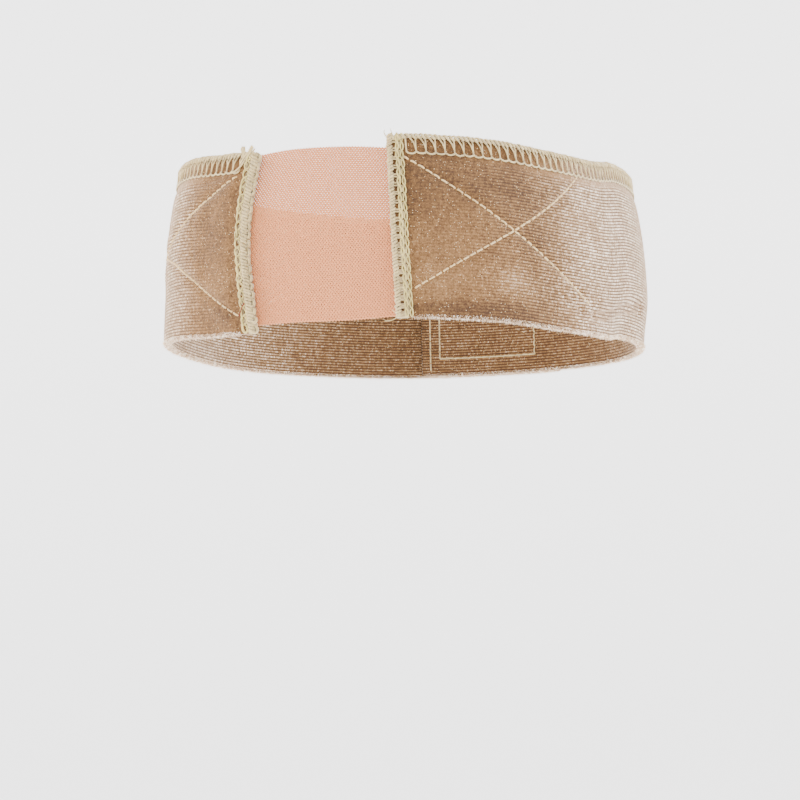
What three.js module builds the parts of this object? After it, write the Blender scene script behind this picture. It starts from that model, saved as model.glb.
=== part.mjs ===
// Wig grip band: two folded velvet straps and a net window at the forehead, closed at the nape.
// Millimetres, +Z up. The wearer looks along -Y and has the left hand at +X.
// The origin is the middle of the head opening, level with the band's lower edge.
import * as THREE from "three";

// The head that the band is stretched round, measured on the band's inner face at its lower edge.
const HEAD_BREADTH = 153.8;
const FOREHEAD_REACH = 97.3; // from the widest place forwards
const NAPE_REACH = 86.9; // from the widest place backwards
const FOREHEAD_SQUARENESS = 2.59; // superellipse power: 2 is an ellipse, more is squarer
const NAPE_SQUARENESS = 2.1;

// How far the head has closed in at the band's top edge. The power keeps the lower half upright.
const TEMPLE_LEAN = 5.7;
const FOREHEAD_LEAN = 4.8;
const NAPE_LEAN = -1.1;
const LEAN_POWER = 3.2;

// Velvet straps: cloth folded once along the lower edge, pile side out on both faces.
const CLOTH_HEIGHT = 58.4; // the seam and the head's lean bring the band to 60
const PILE_CLOTH = 1.0;
const FOLD_SLIT = 0.4; // air between the two layers
const STRAP_OVERLAP = 50; // the straps pass each other by this much at the nape

// Net window.
const NET_WINDOW = 46; // width between the front seams, which the net runs under
const NET_CLOTH = 1.0;

// Overlock seams: a layer of thread wrapped over a raw edge, which squeezes the pile under it.
const THREAD_LAYER = 0.5;
const TOP_SEAM_WIDTH = 6.2; // on the cloth
const FRONT_SEAM_WIDTH = 4.4;
const SEAM_SQUEEZE = 0.35; // share of the thickness that the seam takes away
const SQUEEZE_RAMP = 3; // from the seam to where the cloth is at full thickness

// Hook-and-loop patch between the straps at the nape.
const PATCH_THICKNESS = 2.0;
const PATCH_MARGIN = 5; // to the straps' ends, to the fold and to the top seam

const CLEARANCE = 0.3; // between pieces that touch
const FRONT_RAMP = 16; // along which a strap comes down from the net to the head
const NAPE_RAMP = 42; // along which the outer strap climbs over the inner one
const BOW_REACH = 40; // how far from its front end a strap is pulled by the bow of that end
const FLARE_HEIGHT = 18; // the cloth stands off the head or tucks under it below this height

// How the straps sit, by share of the way round from a strap's front end to the nape.
// Shares of CLOTH_HEIGHT: low and high lift the fold and the seam edge,
// and flare takes the fold off the head or, where it is minus, tucks it in.
const LEFT_SITTING = [
  { along: 0.0, low: 0.025, high: 0.003, flare: 0.0 },
  { along: 0.07, low: 0.017, high: 0.005, flare: 0.0 },
  { along: 0.15, low: 0.0, high: -0.006, flare: 0.0 },
  { along: 0.22, low: -0.024, high: -0.03, flare: 0.004 },
  { along: 0.3, low: -0.033, high: -0.038, flare: 0.012 },
  { along: 0.36, low: -0.027, high: -0.03, flare: -0.01 },
  { along: 0.44, low: 0.012, high: 0.008, flare: -0.07 },
  { along: 0.54, low: 0.014, high: 0.01, flare: -0.045 },
  { along: 0.75, low: 0.0, high: 0.0, flare: 0.0 },
  { along: 1.0, low: 0.0, high: 0.0, flare: 0.0 },
];
const RIGHT_SITTING = [
  { along: 0.0, low: -0.018, high: -0.022, flare: 0.01 },
  { along: 0.08, low: -0.007, high: -0.01, flare: 0.0 },
  { along: 0.15, low: 0.014, high: 0.012, flare: 0.006 },
  { along: 0.24, low: 0.022, high: 0.02, flare: 0.012 },
  { along: 0.34, low: 0.014, high: 0.014, flare: 0.0 },
  { along: 0.5, low: 0.005, high: 0.005, flare: 0.0 },
  { along: 0.75, low: 0.0, high: 0.0, flare: 0.0 },
  { along: 1.0, low: 0.0, high: 0.0, flare: 0.0 },
];

// Bow of the straps' front ends, by share of the height. Shares of NET_WINDOW, plus away from it.
const FRONT_BOW = [
  { up: 0.0, left: 0.0, right: -0.018 },
  { up: 0.5, left: 0.0, right: 0.035 },
  { up: 1.0, left: -0.004, right: 0.015 },
];

// The net's lower and upper edge, by share of its half width. Shares of CLOTH_HEIGHT.
const NET_EDGES = [
  { across: -1.0, low: 0.03, high: 1.0 },
  { across: -0.4, low: 0.035, high: 1.02 },
  { across: 0.35, low: 0.03, high: 1.01 },
  { across: 1.0, low: 0.045, high: 0.98 },
];

const STRAP_STATIONS = 46;
const NET_STATIONS = 14;
const PATCH_STATIONS = 8;
const LEVELS = 5; // facets up one face
const FOLD_FACETS = 4;

const STRAP_THICKNESS = 2 * PILE_CLOTH + FOLD_SLIT;
const HALF_THICKNESS = STRAP_THICKNESS / 2;
const SEAM_LOW = CLOTH_HEIGHT - TOP_SEAM_WIDTH - CLEARANCE;
const SEAM_STANDOFF = CLEARANCE + THREAD_LAYER; // a seam's outer face, from the cloth
const SEAM_HALF = HALF_THICKNESS * (1 - SEAM_SQUEEZE) + SEAM_STANDOFF; // from the cloth's middle
const FRONT_LIFT = NET_CLOTH + CLEARANCE + SEAM_HALF - HALF_THICKNESS; // the net lies under the seam
const PATCH_ROOM = STRAP_THICKNESS + PATCH_THICKNESS + 2 * CLEARANCE;
const NAPE_LIFT = Math.max(PATCH_ROOM, 2 * SEAM_HALF + CLEARANCE);

const smooth = (x) => THREE.MathUtils.smoothstep(x, 0, 1);
const signedPower = (x, power) => Math.sign(x) * Math.abs(x) ** power;
const steps = (count, from, to) =>
  Array.from({ length: count + 1 }, (_, i) => THREE.MathUtils.lerp(from, to, i / count));

// Reads one column of a table at a place between its rows, on a smooth curve through them.
function readTable(rows, at, place, column) {
  const last = rows.length - 1;
  const clamped = THREE.MathUtils.clamp(place, rows[0][at], rows[last][at]);
  const i = Math.min(last - 1, Math.max(0, rows.findIndex((row) => row[at] >= clamped) - 1));
  const slope = (k) => {
    const a = rows[Math.max(0, k - 1)];
    const b = rows[Math.min(last, k + 1)];
    return (b[column] - a[column]) / (b[at] - a[at]);
  };
  const span = rows[i + 1][at] - rows[i][at];
  const t = (clamped - rows[i][at]) / span;
  const rise = rows[i + 1][column] - rows[i][column];
  const bend = t * (1 - t) * ((slope(i) * span - rise) * (1 - t) - (slope(i + 1) * span - rise) * t);
  return rows[i][column] + rise * t + bend;
}

// A point of the head's outline at a turn from the forehead, towards the wearer's left, at a height.
function headOutline(turn, height) {
  const lean = Math.max(0, height / CLOTH_HEIGHT) ** LEAN_POWER;
  const front = Math.cos(turn) > 0;
  const halfBreadth = HEAD_BREADTH / 2 - TEMPLE_LEAN * lean;
  const reach = front ? FOREHEAD_REACH - FOREHEAD_LEAN * lean : NAPE_REACH - NAPE_LEAN * lean;
  const power = 2 / (front ? FOREHEAD_SQUARENESS : NAPE_SQUARENESS);
  return new THREE.Vector3(
    halfBreadth * signedPower(Math.sin(turn), power),
    -reach * signedPower(Math.cos(turn), power),
    height,
  );
}

// Distances round the head's lower outline, from the forehead to the nape, at even turns.
const OUTLINE_STEPS = 1200;
const TURN_STEP = Math.PI / OUTLINE_STEPS;
const distances = [0];
for (let i = 1; i <= OUTLINE_STEPS; i++) {
  const chord = headOutline(i * TURN_STEP, 0).distanceTo(headOutline((i - 1) * TURN_STEP, 0));
  distances.push(distances[i - 1] + chord);
}
const HALF_ROUND = distances[OUTLINE_STEPS];

// The turn at a distance from the forehead, minus towards the wearer's right. It may pass the nape.
function turnAt(distance) {
  const wrapped = THREE.MathUtils.euclideanModulo(distance + HALF_ROUND, 2 * HALF_ROUND) - HALF_ROUND;
  const d = Math.abs(wrapped);
  const i = Math.min(OUTLINE_STEPS, Math.max(1, distances.findIndex((x) => x >= d)));
  const share = (d - distances[i - 1]) / (distances[i] - distances[i - 1]);
  return Math.sign(wrapped) * (i - 1 + share) * TURN_STEP;
}

// A point off the head: distance round from the forehead, height, and stand-off along the normal.
const SLOPE_REACH = 0.5; // on each side of a point, where its normal is measured
function onHead(distance, height, standoff) {
  const at = (d, h) => headOutline(turnAt(d), h);
  const round = at(distance + SLOPE_REACH, height).sub(at(distance - SLOPE_REACH, height));
  const up = at(distance, height + SLOPE_REACH).sub(at(distance, height - SLOPE_REACH));
  const normal = round.cross(up).normalize();
  return at(distance, height).addScaledVector(normal, standoff);
}

// The two straps. Distances along a strap start at its front end.
const STRAP_START = NET_WINDOW / 2 + SEAM_STANDOFF;
const STRAP_LENGTH = HALF_ROUND - STRAP_START + STRAP_OVERLAP / 2;
const straps = {
  left: { name: "left", sign: 1, sitting: LEFT_SITTING, napeLift: 0 },
  right: { name: "right", sign: -1, sitting: RIGHT_SITTING, napeLift: NAPE_LIFT },
};

// The seam squeezes the cloth along its raw edges. Depths are counted from the cloth's middle.
function squeezed(depth, along, height) {
  const fromFront = along - FRONT_SEAM_WIDTH - CLEARANCE;
  const fromTop = SEAM_LOW - height;
  const squeeze = SEAM_SQUEEZE * (1 - smooth(Math.min(fromFront, fromTop) / SQUEEZE_RAMP));
  const inCloth = THREE.MathUtils.clamp(depth, -HALF_THICKNESS, HALF_THICKNESS);
  return depth - inCloth * squeeze;
}

// A point of a strap: distance along it, height above its fold, depth out from its middle.
function onStrap(strap, along, height, depth) {
  const share = along / (HALF_ROUND - STRAP_START);
  const up = height / CLOTH_HEIGHT;
  const bow = NET_WINDOW * readTable(FRONT_BOW, "up", up, strap.name);
  const bowed = along + bow * (1 - smooth(along / BOW_REACH));
  const sit = (column) => CLOTH_HEIGHT * readTable(strap.sitting, "along", share, column);
  const rise = THREE.MathUtils.lerp(sit("low"), sit("high"), up);
  const lift =
    HALF_THICKNESS +
    FRONT_LIFT * (1 - smooth((along - FRONT_SEAM_WIDTH - CLEARANCE) / FRONT_RAMP)) +
    strap.napeLift * smooth((along - STRAP_LENGTH + STRAP_OVERLAP + NAPE_RAMP) / NAPE_RAMP) +
    sit("flare") * (1 - smooth(height / FLARE_HEIGHT));
  const standoff = lift + squeezed(depth, along, height);
  return onHead(strap.sign * (STRAP_START + bowed), height + rise, standoff);
}

// Plus where the faces point outwards.
function volumeSign(points, faces) {
  const cross = new THREE.Vector3();
  const corner = ([a, b, c]) => points[a].dot(cross.crossVectors(points[b], points[c]));
  return Math.sign(faces.reduce((sum, face) => sum + corner(face), 0));
}

// A solid wall through stations. Its section is a strip between two sides of equally many points,
// as [depth, second] pairs, which stays one strip where the wall bends back on itself.
function loft([side, otherSide], stations, place) {
  const ring = [...side, ...otherSide.toReversed()];
  const points = stations.flatMap((station) => ring.map(([a, b]) => place(station, a, b)));
  const n = ring.length;
  const faces = [];
  const quad = (a, b, c, d) => faces.push([a, b, c], [a, c, d]);
  for (let i = 0; i < side.length - 1; i++) {
    const end = points.length - n;
    quad(n - 1 - i, n - 2 - i, i + 1, i);
    quad(end + i, end + i + 1, end + n - 2 - i, end + n - 1 - i);
  }
  for (let first = 0; first < points.length - n; first += n) {
    for (let i = 0; i < n; i++) {
      const j = (i + 1) % n;
      quad(first + i, first + j, first + n + j, first + n + i);
    }
  }
  if (volumeSign(points, faces) < 0) faces.forEach((face) => face.reverse());
  const geometry = new THREE.BufferGeometry().setFromPoints(points);
  geometry.setIndex(faces.flat());
  geometry.computeVertexNormals();
  return geometry;
}

// The heights of a strap's facets from a lowest one up: even ones, then those that the seam needs.
const facetHeights = (low) => [...steps(LEVELS, low, SEAM_LOW - SQUEEZE_RAMP), SEAM_LOW, CLOTH_HEIGHT];

// The places of its rings along a strap: the front seam's own, then even ones.
const strapStations = [
  0,
  FRONT_SEAM_WIDTH / 2,
  ...steps(STRAP_STATIONS, FRONT_SEAM_WIDTH + CLEARANCE, STRAP_LENGTH),
];

// Section of a folded strap: a hairpin with its fold down and its slit open at the top.
function hairpinSection() {
  const heights = facetHeights(HALF_THICKNESS);
  const side = (radius) => [
    ...heights.toReversed().map((height) => [-radius, height]),
    ...steps(FOLD_FACETS, Math.PI, 0)
      .slice(1, -1)
      .map((turn) => [radius * Math.cos(turn), HALF_THICKNESS - radius * Math.sin(turn)]),
    ...heights.map((height) => [radius, height]),
  ];
  return [side(HALF_THICKNESS), side(FOLD_SLIT / 2)];
}

// Section of a thread layer wrapped over an edge, as [depth, distance over the edge].
// edge is where the cloth ends, and into is the direction of the cloth from there.
function wrapSection(edge, into, width, flangePoints) {
  const side = (standoff) => {
    const flange = steps(flangePoints, edge - into * standoff, edge + into * width);
    return [
      ...flange.toReversed().map((over) => [-HALF_THICKNESS - standoff, over]),
      ...flange.map((over) => [HALF_THICKNESS + standoff, over]),
    ];
  };
  return [side(SEAM_STANDOFF), side(CLEARANCE)];
}

// Section of a single flat layer, between two depths and through the given levels.
function layerSection(innerDepth, outerDepth, rows) {
  return [innerDepth, outerDepth].map((depth) => rows.map((row) => [depth, row]));
}

const velvet = new THREE.MeshStandardMaterial({ color: 0xb89a78, roughness: 0.85, metalness: 0 });
const thread = new THREE.MeshStandardMaterial({ color: 0xd9cdab, roughness: 0.7, metalness: 0 });
const net = new THREE.MeshStandardMaterial({ color: 0xe3bfa3, roughness: 0.8, metalness: 0 });
const hookTape = new THREE.MeshStandardMaterial({ color: 0xc9b08e, roughness: 0.9, metalness: 0 });

const group = new THREE.Group();

function addPiece(name, geometry, material) {
  const mesh = new THREE.Mesh(geometry, material);
  mesh.name = name;
  group.add(mesh);
}

function velvetStrap(strap) {
  return loft(hairpinSection(), strapStations, (along, depth, height) =>
    onStrap(strap, along, height, depth),
  );
}

// Starts behind the front seam and runs to the strap's end.
function topSeam(strap) {
  const start = FRONT_SEAM_WIDTH + CLEARANCE;
  const section = wrapSection(CLOTH_HEIGHT, -1, TOP_SEAM_WIDTH, 1);
  return loft(section, steps(STRAP_STATIONS, start, STRAP_LENGTH), (along, depth, height) =>
    onStrap(strap, along, height, depth),
  );
}

// Runs from the fold to the top seam's upper face, round the strap's front end.
function frontSeam(strap) {
  const heights = [...facetHeights(0), CLOTH_HEIGHT + SEAM_STANDOFF];
  return loft(wrapSection(0, 1, FRONT_SEAM_WIDTH, 2), heights, (height, depth, along) =>
    onStrap(strap, along, height, depth),
  );
}

function netWindow() {
  const halfWidth = STRAP_START + FRONT_SEAM_WIDTH;
  const section = layerSection(0, NET_CLOTH, steps(LEVELS, 0, 1));
  return loft(section, steps(NET_STATIONS, -1, 1), (across, depth, up) => {
    const edge = (column) => CLOTH_HEIGHT * readTable(NET_EDGES, "across", across, column);
    return onHead(across * halfWidth, THREE.MathUtils.lerp(edge("low"), edge("high"), up), depth);
  });
}

// Lies on the inner (left) strap and under the outer (right) one, centred on the nape.
function closurePatch() {
  const inner = STRAP_THICKNESS + CLEARANCE;
  const halfLength = STRAP_OVERLAP / 2 - PATCH_MARGIN;
  const low = PATCH_MARGIN;
  const high = CLOTH_HEIGHT - TOP_SEAM_WIDTH - PATCH_MARGIN;
  const outer = NAPE_LIFT - CLEARANCE;
  const section = layerSection(inner, outer, steps(LEVELS, low, high));
  return loft(section, steps(PATCH_STATIONS, -halfLength, halfLength), (past, depth, height) =>
    onHead(HALF_ROUND + past, height, depth),
  );
}

for (const strap of [straps.left, straps.right]) {
  addPiece(`velvet_strap_${strap.name}`, velvetStrap(strap), velvet);
  addPiece(`top_overlock_${strap.name}`, topSeam(strap), thread);
  addPiece(`front_overlock_${strap.name}`, frontSeam(strap), thread);
}
addPiece("lace_window", netWindow(), net);
addPiece("closure_patch", closurePatch(), hookTape);

export default group;
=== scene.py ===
# %% [markdown]
# # A wig grip band
#
# A wig grip band is a soft band worn under a wig. Two velvet straps meet a window of fine net at
# the forehead and close at the nape, and the pile of the velvet stops the wig from sliding.
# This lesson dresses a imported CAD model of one: velvet, net, overlock stitches and thread ends.
# The main sizes named below are the CAD model's own. Blender adds what the eye sees up close.

import itertools
import math
from functools import partial

import bmesh
import bpy
import numpy as np
from mathutils import Matrix, Vector


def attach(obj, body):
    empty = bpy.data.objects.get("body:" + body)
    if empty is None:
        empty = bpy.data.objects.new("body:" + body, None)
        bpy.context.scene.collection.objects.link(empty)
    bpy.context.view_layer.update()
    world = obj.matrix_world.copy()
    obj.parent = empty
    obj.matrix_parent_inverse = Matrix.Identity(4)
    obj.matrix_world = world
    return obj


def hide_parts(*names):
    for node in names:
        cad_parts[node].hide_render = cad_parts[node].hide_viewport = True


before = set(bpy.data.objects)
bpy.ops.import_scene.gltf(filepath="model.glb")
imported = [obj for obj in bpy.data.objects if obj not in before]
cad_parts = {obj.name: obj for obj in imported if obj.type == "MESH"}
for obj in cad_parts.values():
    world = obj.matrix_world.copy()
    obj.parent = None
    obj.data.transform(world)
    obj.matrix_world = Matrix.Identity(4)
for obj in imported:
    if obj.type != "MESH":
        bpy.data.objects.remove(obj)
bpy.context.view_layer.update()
BODY = "root"
mm = 0.001

# %% [markdown]
# ## The camera
#
# The photograph looks at the band from its front, a little from the wearer's left and from below,
# through a long lens. A camera can be placed by hand until the edges match, or worked out from a
# few points. Here its angles, distance and focal length were worked out once and are named below.

# %% Camera
CAMERA_AZIMUTH = math.radians(17.92)
CAMERA_ELEVATION = math.radians(-4.95)
CAMERA_ROLL = math.radians(-1.296)
CAMERA_TARGET = Vector((-6.95, 0.0, -15.87)) * mm
CAMERA_DISTANCE = 1193.7 * mm
LENS_MM = 154.35
SENSOR_MM = 36


def direction(azimuth, elevation):
    """Points from the object towards a viewer. Azimuth 0 is straight in front, towards -Y."""
    level = math.cos(elevation)
    return Vector((math.sin(azimuth) * level, -math.cos(azimuth) * level, math.sin(elevation)))


back = direction(CAMERA_AZIMUTH, CAMERA_ELEVATION)
level_right = Vector((math.cos(CAMERA_AZIMUTH), math.sin(CAMERA_AZIMUTH), 0))
level_up = back.cross(level_right)
right = level_right * math.cos(CAMERA_ROLL) + level_up * math.sin(CAMERA_ROLL)
up = level_up * math.cos(CAMERA_ROLL) - level_right * math.sin(CAMERA_ROLL)
camera_data = bpy.data.cameras.new("camera")
camera_data.lens = LENS_MM
camera_data.sensor_width = SENSOR_MM
camera_data.clip_start = 0.05
camera_data.clip_end = 50
camera = bpy.data.objects.new("camera", camera_data)
camera.matrix_world = Matrix.Translation(CAMERA_TARGET + back * CAMERA_DISTANCE) @ Matrix(
    (right, up, back)
).transposed().to_4x4()
bpy.context.scene.collection.objects.link(camera)
bpy.context.scene.camera = camera
print("camera at", [round(x, 3) for x in camera.location])

# %% [markdown]
# ## Colours and nodes
#
# Colours are written as the sRGB hex values that a paint shop would use, and shaders want linear
# ones, so one function turns them. Another adds a node with its settings and its links, which
# keeps every material and every Geometry Nodes tree below short. The two kinds of node that do
# sums are used so often that they get names.


# %% Helpers for colours and nodes
def linear(hex_colour):
    """An sRGB hex colour as the linear colour that a shader wants."""
    channels = [int(hex_colour[i : i + 2], 16) / 255 for i in (1, 3, 5)]
    curve = [c / 12.92 if c <= 0.04045 else ((c + 0.055) / 1.055) ** 2.4 for c in channels]
    return (*curve, 1.0)


def connect(tree, node, inputs):
    """Sets a node's inputs. Each is a value, a socket, or a node whose first output is meant."""
    for socket, value in inputs.items() if isinstance(inputs, dict) else enumerate(inputs):
        if isinstance(value, bpy.types.Node):
            value = value.outputs[0]
        if isinstance(value, bpy.types.NodeSocket):
            tree.links.new(value, node.inputs[socket])
        else:
            node.inputs[socket].default_value = value


def add(tree, kind, inputs=(), stops=(), points=(), **settings):
    """Adds a node with its settings and its inputs, as connect takes them.

    stops are the (position, hex colour) stops of a colour ramp, points those of a float curve.
    """
    made = tree.nodes.new(kind)
    for name, value in settings.items():
        setattr(made, name, value)
    connect(tree, made, inputs)
    for number, (position, colour) in enumerate(stops):
        if number >= len(made.color_ramp.elements):
            made.color_ramp.elements.new(1.0)
        made.color_ramp.elements[number].position = position
        made.color_ramp.elements[number].color = linear(colour)
    if points:
        made.mapping.use_clip = False
        curve = made.mapping.curves[0]
        while len(curve.points) < len(points):
            curve.points.new(0.5, 0.0)
        for point, place in zip(curve.points, points):
            point.location = place
        made.mapping.update()
    return made


MATH = "ShaderNodeMath"
VECTOR_MATH = "ShaderNodeVectorMath"


def new_material(name, base, roughness):
    """A material with a Principled shader. Returns the material, its tree and its shader."""
    material = bpy.data.materials.new(name)
    material.use_nodes = True
    shader = material.node_tree.nodes["Principled BSDF"]
    shader.inputs["Base Color"].default_value = linear(base)
    shader.inputs["Roughness"].default_value = roughness
    return material, material.node_tree, shader


# %% [markdown]
# ## The studio
#
# A wide paper bowl under and round the band gives a plain pale ground with no horizon line from
# any side. Soft light comes from a bright room above it, and large panels at the sides make the
# pile of the velvet shine at its edges, because pile lights up where the eye skims over it.

# %% The paper bowl and the light panels
FLOOR_Z = -0.30
BOWL_RADIUS = 5.0
BOWL_BEND = 1.0
BOWL_TOP_Z = 2.2
BOWL_STEPS = 16
BOWL_SIDES = 64
ROOM_STRENGTH = 0.6
PAPER_GLOW = 1.5


def paper_bowl():
    """A floor that curves up into a wall all round."""
    turns = np.linspace(0, math.pi / 2, BOWL_STEPS)
    radii = np.concatenate([[1.0], BOWL_RADIUS - BOWL_BEND + BOWL_BEND * np.sin(turns), [BOWL_RADIUS]])
    levels = np.concatenate([[0.0], BOWL_BEND - BOWL_BEND * np.cos(turns), [BOWL_TOP_Z]]) + FLOOR_Z
    angles = np.linspace(0, 2 * math.pi, BOWL_SIDES, endpoint=False)
    rings = [[(r * math.cos(a), r * math.sin(a), z) for a in angles] for r, z in zip(radii, levels)]
    points = [point for ring in rings for point in ring]
    faces = [tuple(range(BOWL_SIDES))]
    for i, j in itertools.product(range(len(rings) - 1), range(BOWL_SIDES)):
        k = (j + 1) % BOWL_SIDES
        here, above = i * BOWL_SIDES, (i + 1) * BOWL_SIDES
        faces.append((here + j, above + j, above + k, here + k))
    mesh = bpy.data.meshes.new("paper_bowl")
    mesh.from_pydata(points, [], faces)
    mesh.shade_smooth()
    bowl = bpy.data.objects.new("paper_bowl", mesh)
    bpy.context.scene.collection.objects.link(bowl)
    return bowl


def soft_panel(name, azimuth, elevation, distance, size, power, colour="#ffffff"):
    """A square light panel that faces the band."""
    light = bpy.data.lights.new(name, "AREA")
    light.energy = power
    light.size = size
    light.color = linear(colour)[:3]
    panel = bpy.data.objects.new(name, light)
    towards = direction(math.radians(azimuth), math.radians(elevation))
    panel.location = towards * distance
    panel.rotation_euler = towards.to_track_quat("Z", "Y").to_euler()
    bpy.context.scene.collection.objects.link(panel)
    return panel


# %% Paper, room and lights
paper, paper_tree, paper_shader = new_material("matt backdrop paper", "#f7f7f8", 0.9)
grain = add(paper_tree, "ShaderNodeTexNoise", {"Scale": 900.0, "Detail": 2.0})
paper_bump = add(paper_tree, "ShaderNodeBump", {"Height": grain, "Distance": 0.1 * mm})
glow = {"Emission Color": linear("#ffffff"), "Emission Strength": PAPER_GLOW}
connect(paper_tree, paper_shader, {"Normal": paper_bump, **glow})
bowl = paper_bowl()
bowl.data.materials.append(paper)

world = bpy.data.worlds.new("bright room")
world.use_nodes = True
background = world.node_tree.nodes["Background"]
connect(world.node_tree, background, {"Color": linear("#ffffff"), "Strength": ROOM_STRENGTH})
bpy.context.scene.world = world

for panel in (
    dict(name="front_panel", azimuth=8, elevation=42, distance=2.2, size=1.0, power=44),
    dict(name="left_panel", azimuth=108, elevation=26, distance=1.9, size=1.2, power=74),
    dict(name="right_panel", azimuth=-78, elevation=26, distance=1.9, size=1.2, power=76, colour="#ffecd0"),
    dict(name="wall_panel", azimuth=180, elevation=60, distance=2.0, size=2.0, power=50),
):
    soft_panel(**panel)

# %% [markdown]
# ## The head that is not there
#
# The band keeps the shape of a head. Nothing stands in for the head itself, and only its surface
# is worked out: a level outline, squarer at the forehead than at the nape, that leans in near the
# top at the front and the sides. A point of the band is then given by how far it lies round the
# head, how high, and how far off the surface, as the real band is sewn flat and then stretched.


# %% Sizes of the head and the band
def table(columns, *rows):
    """Rows of numbers as dicts, under names that are written once."""
    return [dict(zip(columns.split(), row)) for row in rows]


HEAD_BREADTH = 153.8 * mm
FOREHEAD_REACH = 97.3 * mm
NAPE_REACH = 86.9 * mm
FOREHEAD_SQUARENESS = 2.59
NAPE_SQUARENESS = 2.1
TEMPLE_LEAN = 5.7 * mm
FOREHEAD_LEAN = 4.8 * mm
NAPE_LEAN = -1.1 * mm
LEAN_POWER = 3.2

CLOTH_HEIGHT = 58.4 * mm
PILE_CLOTH = 1.0 * mm
FOLD_SLIT = 0.4 * mm
STRAP_OVERLAP = 50 * mm
NET_WINDOW = 46 * mm
NET_CLOTH = 1.0 * mm
THREAD_LAYER = 0.5 * mm
TOP_SEAM_WIDTH = 6.2 * mm
FRONT_SEAM_WIDTH = 4.4 * mm
SEAM_SQUEEZE = 0.35
SQUEEZE_RAMP = 3 * mm
PATCH_THICKNESS = 2.0 * mm
CLEARANCE = 0.3 * mm
EDGE_MARGIN = 0.5 * mm
FRONT_RAMP = 16 * mm
NAPE_RAMP = 42 * mm
BOW_REACH = 40 * mm
FLARE_HEIGHT = 18 * mm

HALF_THICKNESS = PILE_CLOTH + FOLD_SLIT / 2
SEAM_LOW = CLOTH_HEIGHT - TOP_SEAM_WIDTH - CLEARANCE
SEAM_STANDOFF = CLEARANCE + THREAD_LAYER
SEAM_HALF = HALF_THICKNESS * (1 - SEAM_SQUEEZE) + SEAM_STANDOFF
FRONT_LIFT = NET_CLOTH + CLEARANCE + SEAM_HALF - HALF_THICKNESS
PATCH_ROOM = 2 * HALF_THICKNESS + PATCH_THICKNESS + 2 * CLEARANCE
NAPE_LIFT = max(PATCH_ROOM, 2 * SEAM_HALF + CLEARANCE)

# How the straps sit, as shares of CLOTH_HEIGHT, by share of the way from the front to the nape.
LEFT_SITTING = table(
    "along low high flare",
    (0.00, 0.025, 0.018, 0.000),
    (0.07, 0.017, 0.018, 0.000),
    (0.15, 0.000, -0.004, 0.000),
    (0.22, -0.024, -0.030, 0.004),
    (0.30, -0.033, -0.038, 0.012),
    (0.36, -0.027, -0.030, -0.010),
    (0.44, 0.012, 0.008, -0.070),
    (0.54, 0.014, 0.010, -0.045),
    (0.75, 0.000, 0.000, 0.000),
    (1.00, 0.000, 0.000, 0.000),
)
RIGHT_SITTING = table(
    "along low high flare",
    (0.00, -0.018, -0.030, 0.010),
    (0.08, -0.007, 0.002, 0.000),
    (0.15, 0.014, 0.022, 0.006),
    (0.24, 0.022, 0.020, 0.012),
    (0.34, 0.014, 0.014, 0.000),
    (0.50, 0.005, 0.005, 0.000),
    (0.75, 0.000, 0.000, 0.000),
    (1.00, 0.000, 0.000, 0.000),
)

# Bow of the straps' front ends, as shares of NET_WINDOW, by share of the height.
FRONT_BOW = table(
    "up left right",
    (0.0, 0.014, -0.016),
    (0.5, -0.008, 0.055),
    (1.0, -0.022, 0.015),
)

# The net's lower and upper edge, as shares of CLOTH_HEIGHT, by share of its half width.
NET_EDGES = table(
    "across low high",
    (-1.00, 0.030, 1.00),
    (-0.40, 0.035, 1.02),
    (0.35, 0.030, 1.01),
    (1.00, 0.045, 0.98),
)


# %% The surface of the head
def smooth(x):
    """Rises from 0 to 1 with no corner."""
    x = np.clip(x, 0, 1)
    return x * x * (3 - 2 * x)


def signed_power(x, power):
    return np.sign(x) * np.abs(x) ** power


def read_table(rows, at, place, column):
    """One column of a table at places between its rows, on a smooth curve through them."""
    x = np.array([row[at] for row in rows])
    y = np.array([row[column] for row in rows])
    last = len(rows) - 1
    before = np.maximum(np.arange(last + 1) - 1, 0)
    after = np.minimum(np.arange(last + 1) + 1, last)
    slope = (y[after] - y[before]) / (x[after] - x[before])
    place = np.clip(place, x[0], x[-1])
    i = np.clip(np.searchsorted(x, place) - 1, 0, last - 1)
    span = x[i + 1] - x[i]
    t = (place - x[i]) / span
    rise = y[i + 1] - y[i]
    bend = t * (1 - t) * ((slope[i] * span - rise) * (1 - t) - (slope[i + 1] * span - rise) * t)
    return y[i] + rise * t + bend


def head_outline(turn, height):
    """Points of the head's outline, by the turn from the forehead towards the wearer's left."""
    lean = np.maximum(0, height / CLOTH_HEIGHT) ** LEAN_POWER
    front = np.cos(turn) > 0
    half_breadth = HEAD_BREADTH / 2 - TEMPLE_LEAN * lean
    reach = np.where(front, FOREHEAD_REACH - FOREHEAD_LEAN * lean, NAPE_REACH - NAPE_LEAN * lean)
    power = 2 / np.where(front, FOREHEAD_SQUARENESS, NAPE_SQUARENESS)
    x = half_breadth * signed_power(np.sin(turn), power)
    y = -reach * signed_power(np.cos(turn), power)
    return np.stack(np.broadcast_arrays(x, y, height), -1)


# %% Distances round the head
OUTLINE_STEPS = 1200
outline_turns = np.linspace(0, math.pi, OUTLINE_STEPS + 1)
outline = head_outline(outline_turns, 0.0)
chords = np.linalg.norm(np.diff(outline, axis=0), axis=1)
outline_distances = np.concatenate([[0], np.cumsum(chords)])
HALF_ROUND = outline_distances[-1]
SLOPE_REACH = 0.5 * mm
print("half round the head:", round(HALF_ROUND / mm, 1), "mm")


def turn_at(distance):
    """The turn at a distance from the forehead, minus towards the wearer's right."""
    wrapped = (distance + HALF_ROUND) % (2 * HALF_ROUND) - HALF_ROUND
    return np.sign(wrapped) * np.interp(np.abs(wrapped), outline_distances, outline_turns)


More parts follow.
